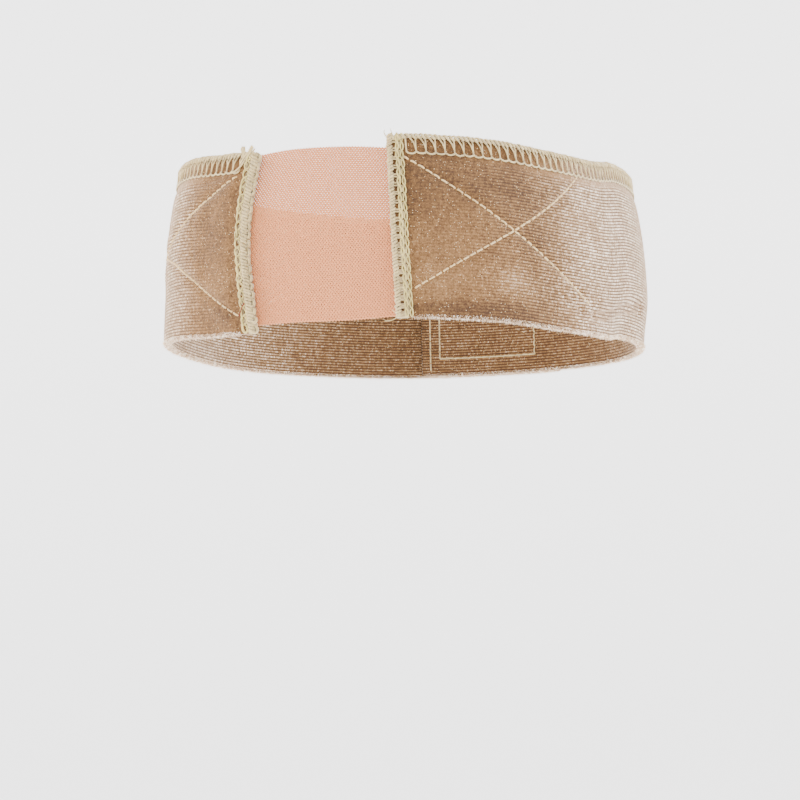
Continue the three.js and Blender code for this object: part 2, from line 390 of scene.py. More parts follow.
def on_head(distance, height, standoff):
    """Points off the head, by distance round it, height, and stand-off along the normal."""
    distance, height, standoff = np.broadcast_arrays(distance, height, standoff)

    def at(along, up):
        return head_outline(turn_at(along), up)

    round_step = at(distance + SLOPE_REACH, height) - at(distance - SLOPE_REACH, height)
    up_step = at(distance, height + SLOPE_REACH) - at(distance, height - SLOPE_REACH)
    normal = np.cross(round_step, up_step)
    normal /= np.linalg.norm(normal, axis=-1, keepdims=True)
    return at(distance, height) + normal * standoff[..., None]


# %% [markdown]
# ## Where the cloth goes
#
# Each strap is one cloth, folded along the lower edge. A place on it is given by the distance
# along the strap, the height above the fold and the depth out from the middle of the two layers.
# The seams squeeze the cloth along its raw edges.

# %% The cloth of a strap
STRAP_START = NET_WINDOW / 2 + SEAM_STANDOFF
STRAP_LENGTH = HALF_ROUND - STRAP_START + STRAP_OVERLAP / 2
STRAPS = {
    "left": dict(sign=1, sitting=LEFT_SITTING, nape_lift=0.0),
    "right": dict(sign=-1, sitting=RIGHT_SITTING, nape_lift=NAPE_LIFT),
}


def seam_squeeze(along, height):
    """The share of the cloth's thickness that the seams take away."""
    from_front = along - FRONT_SEAM_WIDTH - CLEARANCE
    from_top = SEAM_LOW - height
    return SEAM_SQUEEZE * (1 - smooth(np.minimum(from_front, from_top) / SQUEEZE_RAMP))


def on_strap(side, along, height, depth):
    """Points of a strap, by distance along it, height above its fold, and depth out."""
    strap = STRAPS[side]
    share = along / (HALF_ROUND - STRAP_START)
    up_share = height / CLOTH_HEIGHT
    bow = NET_WINDOW * read_table(FRONT_BOW, "up", up_share, side)
    bowed = along + bow * (1 - smooth(along / BOW_REACH))
    low, high, flare = (
        CLOTH_HEIGHT * read_table(strap["sitting"], "along", share, column)
        for column in ("low", "high", "flare")
    )
    rise = low + (high - low) * up_share
    lift = (
        HALF_THICKNESS
        + FRONT_LIFT * (1 - smooth((along - FRONT_SEAM_WIDTH - CLEARANCE) / FRONT_RAMP))
        + strap["nape_lift"] * smooth((along - STRAP_LENGTH + STRAP_OVERLAP + NAPE_RAMP) / NAPE_RAMP)
        + flare * (1 - smooth(height / FLARE_HEIGHT))
    )
    in_cloth = np.clip(depth, -HALF_THICKNESS, HALF_THICKNESS)
    standoff = lift + depth - in_cloth * seam_squeeze(along, height)
    return on_head(strap["sign"] * (STRAP_START + bowed), height + rise, standoff)


# %% [markdown]
# ## Crossed stitches, creases, brushed pile and painted sheen
#
# Each strap is quilted near its front with two crossed lines of stitches, which pull the pile down
# into a groove. Velvet also shows which way its pile was last brushed: towards the light it is pale
# and away from it dark. That light and shade is painted into the velvet's colour, along with a paler
# painted sheen at the sides. Both are given by short tables of places on the cloth, in millimetres.

# %% Tables of stitch lines, creases, brushed pile and painted sheen
# A stitch line runs from its front end through the cross to its far end, as (along, height).
CROSS_STITCHES = {
    "left": [[(4.0, 52.2), (39.1, 30.0), (73.2, 9.9)], [(5.4, 9.3), (39.1, 30.0), (73.7, 53.0)]],
    "right": [
        [(6.1, 51.8), (36.0, 37.6), (58.0, 29.0), (99.0, 12.0)],
        [(4.6, 6.0), (26.0, 18.6), (42.5, 25.4), (58.0, 29.0), (99.0, 48.0)],
    ],
}
GROOVE_DEPTH = 0.5
GROOVE_WIDTH = 0.9
PUFF_HEIGHT = 0.25
PUFF_OFFSET = 3.2
PUFF_WIDTH = 2.2

CREASES = {
    "left": [
        dict(start=(62.6, 12.0), end=(67.1, 7.6), depth=0.85, width=0.9),
        dict(start=(66.2, 12.4), end=(67.4, 7.8), depth=0.60, width=0.8),
        dict(start=(76.0, 6.6), end=(128.0, 11.2), depth=1.5, width=2.4),
        dict(start=(80.0, 11.6), end=(126.0, 16.2), depth=-0.9, width=2.6),
    ],
    "right": [dict(start=(26.6, 26.0), end=(27.6, 41.0), depth=0.22, width=0.6)],
}

# Plus is brushed towards the light and painted paler, minus painted darker. Sizes are in millimetres.
BRUSHED = {
    "left": table(
        "along height length tall lay",
        (10, 42, 16, 12, -0.3),
        (12, 15, 14, 9, 0.1),
        (38, 14, 7, 5, 0.36),
        (24, 3, 26, 3.0, -0.45),
        (38, 44, 18, 7, -0.22),
        (50, 28, 7, 7, -0.12),
    ),
    "right": table(
        "along height length tall lay",
        (16, 32, 15, 20, -0.15),
        (12, 6, 10, 4, -0.2),
        (16, 17, 9, 4, 0.2),
    ),
}
SEAM_LAY = -0.12  # pile that a seam presses down is dark
# Painted sheen: at the sides the colour is made paler, as pile shines where the eye skims it, by how much
# and between which places along the strap.
SIDE_PAINTED_SHEEN = 0.58
SIDE_FROM = {"left": (38, 76), "right": (14, 46)}
SIDE_TO = (130, 210)


# %% Relief, brushed pile and painted sheen
def distance_to_segment(along, height, start, end):
    """Distance from places on the cloth to a straight segment, in millimetres."""
    place = np.stack([along / mm, height / mm], -1)
    first, second = np.array(start), np.array(end)
    step = second - first
    share = np.clip((place - first) @ step / (step @ step), 0, 1)
    return np.linalg.norm(place - first - share[..., None] * step, axis=-1)


def bell(distance, width):
    return np.exp(-((distance / width) ** 2))


def relief(side, along, height):
    """How far stitch lines and creases move the pile out, in metres."""
    along, height = np.broadcast_arrays(along, height)
    nearest = np.full(along.shape, np.inf)
    for line in CROSS_STITCHES[side]:
        for start, end in zip(line, line[1:]):
            nearest = np.minimum(nearest, distance_to_segment(along, height, start, end))
    out = PUFF_HEIGHT * bell(nearest - PUFF_OFFSET, PUFF_WIDTH) - GROOVE_DEPTH * bell(nearest, GROOVE_WIDTH)
    for crease in CREASES[side]:
        away = distance_to_segment(along, height, crease["start"], crease["end"])
        out = out - crease["depth"] * bell(away, crease["width"])
    return out * mm * (1 - seam_squeeze(along, height) / SEAM_SQUEEZE)


RIBS_SHOW_FROM = {"left": (14 * mm, 62 * mm), "right": (12 * mm, 38 * mm)}
RIBS_NEAR_FRONT = 0.14


def ribs_show(side, along):
    """The share of the ribs' depth that shows: near the front the pile stands up and hides them."""
    first, last = RIBS_SHOW_FROM[side]
    return RIBS_NEAR_FRONT + (1 - RIBS_NEAR_FRONT) * smooth((along - first) / (last - first))


def brushed(side, along, height):
    """How pale the colour is painted: brushed pile, plus where it lies towards the light, and painted sheen
    at the sides.
    """
    lay = np.zeros(np.broadcast(along, height).shape)
    for patch in BRUSHED[side]:
        x = (along / mm - patch["along"]) / patch["length"]
        y = (height / mm - patch["height"]) / patch["tall"]
        lay += patch["lay"] * np.exp(-(x**2) - y**2)
    first, second = SIDE_FROM[side]
    third, fourth = SIDE_TO
    starts = smooth((along / mm - first) / (second - first))
    ends = smooth((along / mm - third) / (fourth - third))
    return lay + SIDE_PAINTED_SHEEN * (starts - ends)


# %% [markdown]
# ## Velvet straps
#
# The real strap is knitted velvet on a ribbed ground, folded with the pile out on both faces. Its
# form could be sculpted, but the head surface above already says where every point goes, so the
# cloth is made as rows and columns of points: closely spaced on the outer face, where the ribs
# have to show, and wider inside the fold. The cloth is a closed wall, as Solidify would make it.

# %% Rows and columns of a strap
RIBS = 58
ROWS_PER_OUTER_RIB = 5
ROWS_PER_INNER_RIB = 3
SLIT_ROWS = 12
CLOSE_COLUMNS_TO = 88 * mm
CLOSE_COLUMN = 1.0 * mm
WIDE_COLUMN = 2.0 * mm
FOLD_ARC = HALF_THICKNESS * math.pi / 2
GIRTH = FOLD_ARC + CLOTH_HEIGHT - HALF_THICKNESS
RIB_PITCH = GIRTH / RIBS
print("rib pitch:", round(RIB_PITCH / mm, 3), "mm")


def hairpin(girth, radius):
    """(height, depth) at a girth from the fold's bottom, plus up the outer face."""
    turn = np.clip(np.abs(girth) / FOLD_ARC, 0, 1) * math.pi / 2
    straight = np.maximum(np.abs(girth) - FOLD_ARC, 0)
    height = HALF_THICKNESS - radius * np.cos(turn) + straight
    return height, np.sign(girth) * radius * np.sin(turn)


def strap_columns():
    close = np.arange(0, CLOSE_COLUMNS_TO, CLOSE_COLUMN)
    wide = np.linspace(close[-1], STRAP_LENGTH, round((STRAP_LENGTH - close[-1]) / WIDE_COLUMN))
    return np.concatenate([close, wide[1:]])


def zip_rows(first, first_girths, second, second_girths):
    """Triangles between two rows of points that run side by side."""
    faces = []
    i = j = 0
    while i < len(first) - 1 or j < len(second) - 1:
        first_is_next = j == len(second) - 1 or (
            i < len(first) - 1 and first_girths[i + 1] >= second_girths[j + 1]
        )
        if first_is_next:
            faces.append((first[i], first[i + 1], second[j]))
            i += 1
        else:
            faces.append((first[i], second[j + 1], second[j]))
            j += 1
    return faces


# %% The mesh of a strap
def keep_cloth_places(mesh, columns, rows):
    """Keeps each point's column and row on the flat cloth, in a UV map."""
    corners = np.zeros(len(mesh.loops), int)
    mesh.loops.foreach_get("vertex_index", corners)
    flat = np.stack([np.repeat(columns, len(rows)), np.tile(rows, len(columns))], -1)
    uv = mesh.uv_layers.new(name="cloth")
    uv.uv.foreach_set("vector", flat[corners].astype(np.float32).ravel())


def keep_values(mesh, name, kind, field, values):
    """Keeps a value for each point of a mesh, in an attribute."""
    attribute = mesh.attributes.new(name, kind, "POINT")
    attribute.data.foreach_set(field, values.astype(np.float32).ravel())


def strap_mesh(side):
    """The closed cloth of a strap, with its places kept as a UV map and two attributes."""
    outer = np.linspace(GIRTH, 0, RIBS * ROWS_PER_OUTER_RIB + 1)
    inner = np.linspace(0, -GIRTH, RIBS * ROWS_PER_INNER_RIB + 1)[1:]
    face_girths = np.concatenate([outer, inner])
    slit_girths = np.linspace(-GIRTH, GIRTH, 2 * SLIT_ROWS + 1)
    girths = np.concatenate([face_girths, slit_girths])
    is_face = np.arange(len(girths)) < len(face_girths)
    height, depth = hairpin(girths, np.where(is_face, HALF_THICKNESS, FOLD_SLIT / 2))
    columns = strap_columns()
    along = columns[:, None]
    outwards = relief(side, along, height[None, :]) * np.where(is_face, np.sign(girths), 0)
    places = on_strap(side, along, height[None, :], depth[None, :] + outwards)

    n, m = places.shape[:2]
    index = np.arange(n * m).reshape(n, m)
    here, above = index[:-1], index[1:]
    quads = np.stack([here, np.roll(here, -1, 1), np.roll(above, -1, 1), above], -1).reshape(-1, 4)
    faces = [tuple(int(i) for i in quad) for quad in quads]
    split = len(face_girths)
    for row, flip in ((index[0], False), (index[-1], True)):
        cap = zip_rows(row[:split], face_girths, row[split:][::-1], slit_girths[::-1])
        faces += [tuple(int(i) for i in (face[::-1] if flip else face)) for face in cap]
    if STRAPS[side]["sign"] < 0:
        faces = [face[::-1] for face in faces]

    mesh = bpy.data.meshes.new(f"{side}_velvet")
    mesh.from_pydata(places.reshape(-1, 3).tolist(), [], faces)
    keep_cloth_places(mesh, columns, girths)
    loose = np.clip(1 - seam_squeeze(along, height[None, :]) / SEAM_SQUEEZE, 0, 1)
    pile = np.where(is_face[None, :], loose * ribs_show(side, along), 0)
    # Brushed pile, with sheen painted paler at the sides, kept for the velvet's colour.
    lay = brushed(side, along, height[None, :]) + SEAM_LAY * (1 - loose)
    keep_values(mesh, "pile", "FLOAT", "value", pile)
    keep_values(mesh, "lay", "FLOAT", "value", lay)
    mesh.shade_smooth()
    return mesh


# %% [markdown]
# ## Running a Geometry Nodes tree
#
# What repeats is made by Geometry Nodes, such as the ribs of the velvet. A tree is built once with
# named inputs for its sizes, a modifier runs it, and the result is kept as a plain mesh.


# %% Helpers for Geometry Nodes
def new_tree(name, floats=(), whole=(), places=()):
    """An empty tree with named inputs. Returns the tree and the outputs of its input node."""
    tree = bpy.data.node_groups.new(name, "GeometryNodeTree")
    kinds = {"Geometry": "Geometry", "Material": "Material"}
    kinds |= {label: "Float" for label in floats} | {label: "Int" for label in whole}
    kinds |= {label: "Vector" for label in places}
    for label, kind in kinds.items():
        tree.interface.new_socket(label, in_out="INPUT", socket_type=f"NodeSocket{kind}")
    tree.interface.new_socket("Geometry", in_out="OUTPUT", socket_type="NodeSocketGeometry")
    return tree, add(tree, "NodeGroupInput").outputs


def end_tree(tree, geometry, material):
    """Ends a tree in Realize Instances and Set Material."""
    real = add(tree, "GeometryNodeRealizeInstances", {"Geometry": geometry})
    painted = add(tree, "GeometryNodeSetMaterial", {"Geometry": real, "Material": material})
    add(tree, "NodeGroupOutput", {"Geometry": painted})


def run_tree(tree, name, values, start=None):
    """Runs a tree with its inputs set and returns the result as a plain mesh."""
    maker = bpy.data.objects.new(f"{name}_maker", start or bpy.data.meshes.new(f"{name}_start"))
    bpy.context.scene.collection.objects.link(maker)
    modifier = maker.modifiers.new("maker", "NODES")
    modifier.node_group = tree
    for socket in tree.interface.items_tree:
        if socket.in_out == "INPUT" and socket.name in values:
            modifier[socket.identifier] = values[socket.name]
    depsgraph = bpy.context.evaluated_depsgraph_get()
    mesh = bpy.data.meshes.new_from_object(maker.evaluated_get(depsgraph), depsgraph=depsgraph)
    mesh.name = name
    bpy.data.objects.remove(maker)
    return mesh


# %% Geometry Nodes: ribs of the velvet
RIB_DEPTH = 0.42 * mm
RIB_SHARPNESS = 3.2
CRUMB_SIZE = 1.6 * mm


def rib_tree():
    """Presses narrow valleys between the ribs of a cloth, along its normals, and keeps how deep each point
    lies in them for painted shade.
    """
    tree, given = new_tree("velvet ribs", floats=("Pitch", "Depth", "Crumb"))
    place = add(tree, "GeometryNodeInputNamedAttribute", {"Name": "cloth"}, data_type="FLOAT_VECTOR")
    girth = add(tree, "ShaderNodeSeparateXYZ", (place,)).outputs[1]
    ribs = add(tree, MATH, (girth, given["Pitch"]), operation="DIVIDE")
    phase = add(tree, MATH, (ribs,), operation="FRACT")
    from_crest = add(tree, MATH, (phase, 0.5), operation="SUBTRACT")
    off_crest = add(tree, MATH, (from_crest,), operation="ABSOLUTE")
    share = add(tree, MATH, (off_crest, 2.0), operation="MULTIPLY")
    valley_and_shade = add(tree, MATH, (share, RIB_SHARPNESS), operation="POWER")
    pile = add(tree, "GeometryNodeInputNamedAttribute", {"Name": "pile"}, data_type="FLOAT")
    crumb_scale = add(tree, MATH, (1.0, given["Crumb"]), operation="DIVIDE")
    crumbs = add(tree, "ShaderNodeTexNoise", {"Scale": crumb_scale, "Detail": 2.0})
    uneven = add(tree, MATH, (crumbs, 0.5), operation="ADD")
    depth = given["Depth"]
    for part in (valley_and_shade, uneven, pile, -1.0):
        depth = add(tree, MATH, (depth, part), operation="MULTIPLY")
    normal = add(tree, "GeometryNodeInputNormal")
    offset = add(tree, VECTOR_MATH, {0: normal, "Scale": depth}, operation="SCALE")
    # Painted shade: the velvet's colour is darkened where the valleys show.
    valley_shade_shown = add(tree, MATH, (valley_and_shade, pile), operation="MULTIPLY")
    marked = add(
        tree,
        "GeometryNodeStoreNamedAttribute",
        {"Geometry": given["Geometry"], "Name": "valley_and_shade", "Value": valley_shade_shown},
        data_type="FLOAT",
        domain="POINT",
    )
    moved = add(tree, "GeometryNodeSetPosition", {"Geometry": marked, "Offset": offset})
    end_tree(tree, moved, given["Material"])
    return tree


# %% [markdown]
# ## Polyester velvet
#
# Velvet is a forest of fine fibres on a knitted ground. Looked at squarely it is as dark as the
# spaces between the fibres, and at a glancing angle their shiny sides catch the light, so it turns
# almost white. The Principled shader's sheen does this, and a paler painted sheen in the colour adds
# to it at the sides. The valleys between the ribs are painted darker as shade, brushed patches are
# painted lighter or darker for the light they catch, and single fibres glitter as painted highlights.

# %% Material: polyester velvet
FIBRE_CLUMP = 0.45 * mm  # real fibres are finer than a pixel, so clumps of them are drawn
STROKE = 1.1 * mm  # of pile that leans the same way
BRUSH_PATCH = 8 * mm
LOOP_LENGTH = 0.8 * mm  # of one knitted loop along a rib
# Painted highlights: a few small dots of paler colour, where single fibres would glint.
GLINT_CELL = 0.5 * mm
GLINT_SHARE = 0.16
GLINT_REACH = 0.2
LOOP_SHIFT = 0.37  # of a loop, from each rib to the next
LOOP_END_SHADE = -0.9
TONE_MIDDLE = 0.19
# What makes the pile lighter or darker, as (the value that changes nothing, weight). The brushed part also
# carries painted sheen, and the part for the rib valleys is painted shade.
TONE_PARTS = {
    "patches": (0.5, 0.3),
    "strokes": (0.5, 0.6),
    "fibres": (0.5, 0.9),
    # Brushed pile, with sheen painted paler at the sides.
    "lay": (0.0, 0.55),
    # Painted shade: darker in the valleys between the ribs.
    "valley_and_shade": (0.25, -0.75),
    "loops": (0.2, 0.28),
}
VELVET_TONES = [(0.0, "#38230f"), (0.25, "#5f4121"), (0.5, "#7b5b38"), (0.75, "#a28a72"), (1.0, "#e8ddcf")]
PAINTED_GLINT_COLOUR = "#ecd0a4"


# %% Patterns in the velvet
def knitted_loops(tree):
    """(a random value, how near its end) for each knitted loop along each rib."""
    uv = add(tree, "ShaderNodeUVMap", uv_map="cloth")
    parts = add(tree, "ShaderNodeSeparateXYZ", (uv,))
    ribs = add(tree, MATH, (parts.outputs[1], RIB_PITCH), operation="DIVIDE")
    rib = add(tree, MATH, (ribs,), operation="FLOOR")
    length = add(tree, MATH, (parts.outputs[0], LOOP_LENGTH), operation="DIVIDE")
    loops = add(tree, MATH, (rib, LOOP_SHIFT, length), operation="MULTIPLY_ADD")
    loop = add(tree, MATH, (loops,), operation="FLOOR")
    name = add(tree, "ShaderNodeCombineXYZ", (loop, rib))
    random = add(tree, "ShaderNodeTexWhiteNoise", {"Vector": name}, noise_dimensions="2D")
    phase = add(tree, MATH, (loops,), operation="FRACT")
    end = add(tree, "ShaderNodeFloatCurve", {"Value": phase}, points=[(0, 1), (0.3, 0), (0.7, 0), (1, 1)])
    return random, end


def fibre_noise(tree, where):
    """Three noises: broad patches of brushed pile, single strokes, and clumps of fibres."""
    return [
        add(tree, "ShaderNodeTexNoise", {"Vector": where, "Scale": 1 / size, "Detail": 3.0})
        for size in (BRUSH_PATCH, STROKE, FIBRE_CLUMP)
    ]


def painted_glints(tree, where):
    """1 at a few small dots, painted highlights where the side of a single fibre would mirror the light."""
    cells = add(tree, "ShaderNodeTexVoronoi", {"Vector": where, "Scale": 1 / GLINT_CELL})
    random = add(tree, "ShaderNodeSeparateXYZ", (cells.outputs["Color"],))
    chosen = add(tree, MATH, (random, GLINT_SHARE), operation="LESS_THAN")
    small = add(tree, MATH, (cells, GLINT_REACH), operation="LESS_THAN")
    return add(tree, MATH, (chosen, small), operation="MULTIPLY")


# %% The velvet, put together
def polyester_velvet():
    material, tree, shader = new_material("polyester velvet", "#8c6b4c", 0.8)
    where = add(tree, "ShaderNodeTexCoord").outputs["Object"]
    lay, valley_and_shade, shown = (
        add(tree, "ShaderNodeAttribute", attribute_name=name).outputs["Fac"]
        for name in ("lay", "valley_and_shade", "pile")
    )
    patches, strokes, fibres = fibre_noise(tree, where)
    loop, loop_end = knitted_loops(tree)
    loop_tone = add(tree, MATH, (loop_end, LOOP_END_SHADE, loop), operation="MULTIPLY_ADD")
    loops = add(tree, MATH, (loop_tone, shown), operation="MULTIPLY")
    parts = dict(patches=patches, strokes=strokes, fibres=fibres, lay=lay, valley_and_shade=valley_and_shade, loops=loops)
    tone = TONE_MIDDLE
    for name, (middle, weight) in TONE_PARTS.items():
        away = add(tree, MATH, (parts[name], middle), operation="SUBTRACT")
        tone = add(tree, MATH, (away, weight, tone), operation="MULTIPLY_ADD")
    colour = add(tree, "ShaderNodeValToRGB", {"Fac": tone}, stops=VELVET_TONES)
    # Painted highlights: the glint dots are mixed into the colour.
    dots = {0: painted_glints(tree, where), 6: colour, 7: linear(PAINTED_GLINT_COLOUR)}
    mixed = add(tree, "ShaderNodeMix", dots, data_type="RGBA")
    rough = add(tree, MATH, (strokes, 0.6, fibres), operation="MULTIPLY_ADD")
    bump = add(tree, "ShaderNodeBump", {"Height": rough, "Strength": 0.8, "Distance": 0.3 * mm})
    looks = {
        "Base Color": mixed.outputs[2],
        "Normal": bump,
        "IOR": 1.5,
        "Specular IOR Level": 0.3,
        "Sheen Weight": 0.6,
        "Sheen Roughness": 0.24,
        "Sheen Tint": linear("#ffefdb"),
    }
    connect(tree, shader, looks)
    return material


velvet = polyester_velvet()


def finish_piece(mesh, name, nodes=()):
    """Puts a finished mesh into the scene as a piece that rides on the band's body."""
    piece = bpy.data.objects.new(name, mesh)
    bpy.context.scene.collection.objects.link(piece)
    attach(piece, BODY)
    if nodes:
        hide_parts(*nodes)
    low, high = (np.array(corner) for corner in (piece.bound_box[0], piece.bound_box[6]))
    print(f"{name}: {len(mesh.polygons)} faces, {np.round((high - low) / mm, 1)} mm")
    return piece


ribs = rib_tree()
for side in STRAPS:
    ribbed = run_tree(
        ribs,
        f"{side}_velvet",
        {"Pitch": RIB_PITCH, "Depth": RIB_DEPTH, "Crumb": CRUMB_SIZE, "Material": velvet},
        start=strap_mesh(side),
    )
    finish_piece(ribbed, f"{side}_velvet", [f"velvet_strap_{side}"])

# %% [markdown]
# ## Guides that stitches are laid on
#
# A stitch is easy to draw on a flat cloth and hard to draw on a head. So each seam has a guide: a
# grid over the surface that the seam lies on, with a UV map that says where each point is on the
# flat cloth, and an attribute for the way out. Threads are drawn flat and then wrapped onto it.

# %% Guides
TOP_NEEDLE = 5.1 * mm
FRONT_NEEDLE = {"left": 4.5 * mm, "right": 3.4 * mm}
EDGE_RADIUS = HALF_THICKNESS * (1 - SEAM_SQUEEZE)
GUIDE_STEP = 0.8 * mm
GUIDE_MARGIN = 2.5 * mm


def even(low, high, step):
    """Evenly spaced values from low to high, about a step apart."""
    return np.linspace(low, high, max(2, round((high - low) / step) + 1))


def grid_quads(index):
    """Quads between the neighbours in a grid of point numbers."""
    corners = index[:-1, :-1], index[1:, :-1], index[1:, 1:], index[:-1, 1:]
    return np.stack(corners, -1).reshape(-1, 4)


def guide_mesh(name, places, columns, rows, sign):
    """A grid of quads whose UV map holds each point's column and row on the flat cloth."""
    out = np.cross(np.gradient(places, axis=0), np.gradient(places, axis=1)) * sign
    out /= np.linalg.norm(out, axis=-1, keepdims=True)
    index = np.arange(len(columns) * len(rows)).reshape(len(columns), len(rows))
    mesh = bpy.data.meshes.new(name)
    mesh.from_pydata(places.reshape(-1, 3).tolist(), [], grid_quads(index).tolist())
    keep_cloth_places(mesh, columns, rows)
    keep_values(mesh, "out", "FLOAT_VECTOR", "vector", out)
    return mesh


def over_edge(girth, needle):
    """(into the cloth, depth) at a girth from the outer needle line, over the edge, to the inner."""
    flat = needle - EDGE_RADIUS
    turn = np.clip((girth - flat) / EDGE_RADIUS, 0, math.pi)
    past = np.maximum(flat - girth, 0) + np.maximum(girth - flat - math.pi * EDGE_RADIUS, 0)
    return EDGE_RADIUS * (1 - np.sin(turn)) + past, HALF_THICKNESS * np.cos(turn)


def seam_girth(needle):
    return 2 * (needle - EDGE_RADIUS) + math.pi * EDGE_RADIUS


# %% The guide of each seam
def top_guide(side):
    columns = even(0, STRAP_LENGTH + GUIDE_MARGIN, GUIDE_STEP)
    rows = even(-GUIDE_MARGIN, seam_girth(TOP_NEEDLE) + GUIDE_MARGIN, GUIDE_STEP / 3)
    into, depth = over_edge(rows[None, :], TOP_NEEDLE)
    places = on_strap(side, columns[:, None], CLOTH_HEIGHT - into, depth)
    return guide_mesh(f"{side}_top_guide", places, columns, rows, STRAPS[side]["sign"])


def front_guide(side):
    columns = even(-GUIDE_MARGIN, CLOTH_HEIGHT + GUIDE_MARGIN, GUIDE_STEP)
    rows = even(-GUIDE_MARGIN, seam_girth(FRONT_NEEDLE[side]) + GUIDE_MARGIN, GUIDE_STEP / 3)
    into, depth = over_edge(rows[None, :], FRONT_NEEDLE[side])
    places = on_strap(side, into, columns[:, None], depth)
    return guide_mesh(f"{side}_front_guide", places, columns, rows, STRAPS[side]["sign"])


def face_guide(side, face, first, last):
    """A guide over a strap's outer face, where face is 1, or its inner face, where it is -1."""
    columns = even(first, last, GUIDE_STEP / 2)
    rows = even(HALF_THICKNESS, CLOTH_HEIGHT - EDGE_MARGIN, GUIDE_STEP / 2)
    depth = face * (HALF_THICKNESS + relief(side, columns[:, None], rows[None, :]))
    places = on_strap(side, columns[:, None], rows[None, :], depth)
    return guide_mesh(f"{side}_face_guide", places, columns, rows, face * STRAPS[side]["sign"])


# %% [markdown]
# ## A tree that sews
#
# Every seam repeats one stitch. The tree below draws one thread: a line of points, moved within
# each stitch by three small curves that say how far it goes forward, across and off the cloth.
# Then the line becomes a tube and is wrapped onto the guide. Each kind of stitch has its own
# curves, and the pitch, width and thickness are inputs.

# %% Geometry Nodes: a tube, and wrapping it onto a guide
STITCH_STEPS = 12
THREAD_SIDES = 6
BENDS_PER_STITCH = 1.3  # of a loose thread
UPWARDS = (0.0, 0.0, 1.0)


def tube(tree, curve, radius, sides=THREAD_SIDES, **more):
    """Gives a curve a round body with closed ends."""
    circle = add(tree, "GeometryNodeCurvePrimitiveCircle", {"Resolution": sides, "Radius": radius})
    inputs = {"Curve": curve, "Profile Curve": circle, "Fill Caps": True, **more}
    return add(tree, "GeometryNodeCurveToMesh", inputs)


def wrap(tree, flat_geometry, guide):
    """Moves points from the flat cloth, with z off it, onto the guide, and smooths the faces."""
    flat = add(tree, "GeometryNodeInputPosition")
    off = add(tree, "ShaderNodeSeparateXYZ", (flat,)).outputs[2]
    uv, out = (
        add(tree, "GeometryNodeInputNamedAttribute", {"Name": name}, data_type="FLOAT_VECTOR")
        for name in ("cloth", "out")
    )
    place, way_out = (
        add(tree, "GeometryNodeSampleUVSurface", (guide, value, uv, flat), data_type="FLOAT_VECTOR")
        for value in (flat, out)
    )
    off_guide = add(tree, VECTOR_MATH, {0: way_out, "Scale": off}, operation="SCALE")
    wrapped = add(tree, VECTOR_MATH, (place, off_guide), operation="ADD")
    moved = add(tree, "GeometryNodeSetPosition", {"Geometry": flat_geometry, "Position": wrapped})
    return add(tree, "GeometryNodeSetShadeSmooth", {"Geometry": moved})


# %% Geometry Nodes: a line of points that is sewn
def thread_tree(name, forward, across, lift):
    """A tree that sews one thread, given the shape of one stitch."""
    sizes = ("Width", "Base", "Lift", "Thread", "Looseness", "Seed")
    tree, given = new_tree(name, floats=sizes, whole=("Stitches",), places=("Start", "End"))
    count = add(tree, MATH, (given["Stitches"], STITCH_STEPS, 1.0), operation="MULTIPLY_ADD")
    line = add(tree, "GeometryNodeMeshLine", {"Count": count})
    index = add(tree, "GeometryNodeInputIndex")
    turn = add(tree, MATH, (index, STITCH_STEPS), operation="DIVIDE")
    phase = add(tree, MATH, (turn,), operation="FRACT")
    stitch = add(tree, MATH, (turn,), operation="FLOOR")
    ahead_by, across_by, off_by = (
        add(tree, "ShaderNodeFloatCurve", {"Value": phase}, points=curve)
        for curve in (forward, across, lift)
    )
    sewn = add(tree, MATH, (stitch, ahead_by), operation="ADD")
    share = add(tree, MATH, (sewn, given["Stitches"]), operation="DIVIDE")
    swing = add(tree, MATH, (across_by, given["Width"]), operation="MULTIPLY")
    height = add(tree, MATH, (off_by, given["Lift"], given["Base"]), operation="MULTIPLY_ADD")

    whole_way = add(tree, VECTOR_MATH, (given["End"], given["Start"]), operation="SUBTRACT")
    ahead = add(tree, VECTOR_MATH, (whole_way,), operation="NORMALIZE")
    sideways = add(tree, VECTOR_MATH, (UPWARDS, ahead), operation="CROSS_PRODUCT")
    noise_turn = add(tree, MATH, (turn, BENDS_PER_STITCH), operation="MULTIPLY")
    noise_place = add(tree, "ShaderNodeCombineXYZ", (noise_turn, given["Seed"]))
    noise = add(tree, "ShaderNodeTexNoise", {"Vector": noise_place, "Scale": 1.0, "Detail": 1.0})
    stray = add(tree, VECTOR_MATH, (noise.outputs["Color"], (0.5, 0.5, 0.5)), operation="SUBTRACT")
    place = given["Start"]
    for way, far in (
        (whole_way, share),
        (sideways, swing),
        (UPWARDS, height),
        (stray, given["Looseness"]),
    ):
        step = add(tree, VECTOR_MATH, {0: way, "Scale": far}, operation="SCALE")
        place = add(tree, VECTOR_MATH, (place, step), operation="ADD")
    drawn = add(tree, "GeometryNodeSetPosition", {"Geometry": line, "Position": place})
    curve = add(tree, "GeometryNodeMeshToCurve", {"Mesh": drawn})
    end_tree(tree, wrap(tree, tube(tree, curve, given["Thread"]), given["Geometry"]), given["Material"])
    return tree


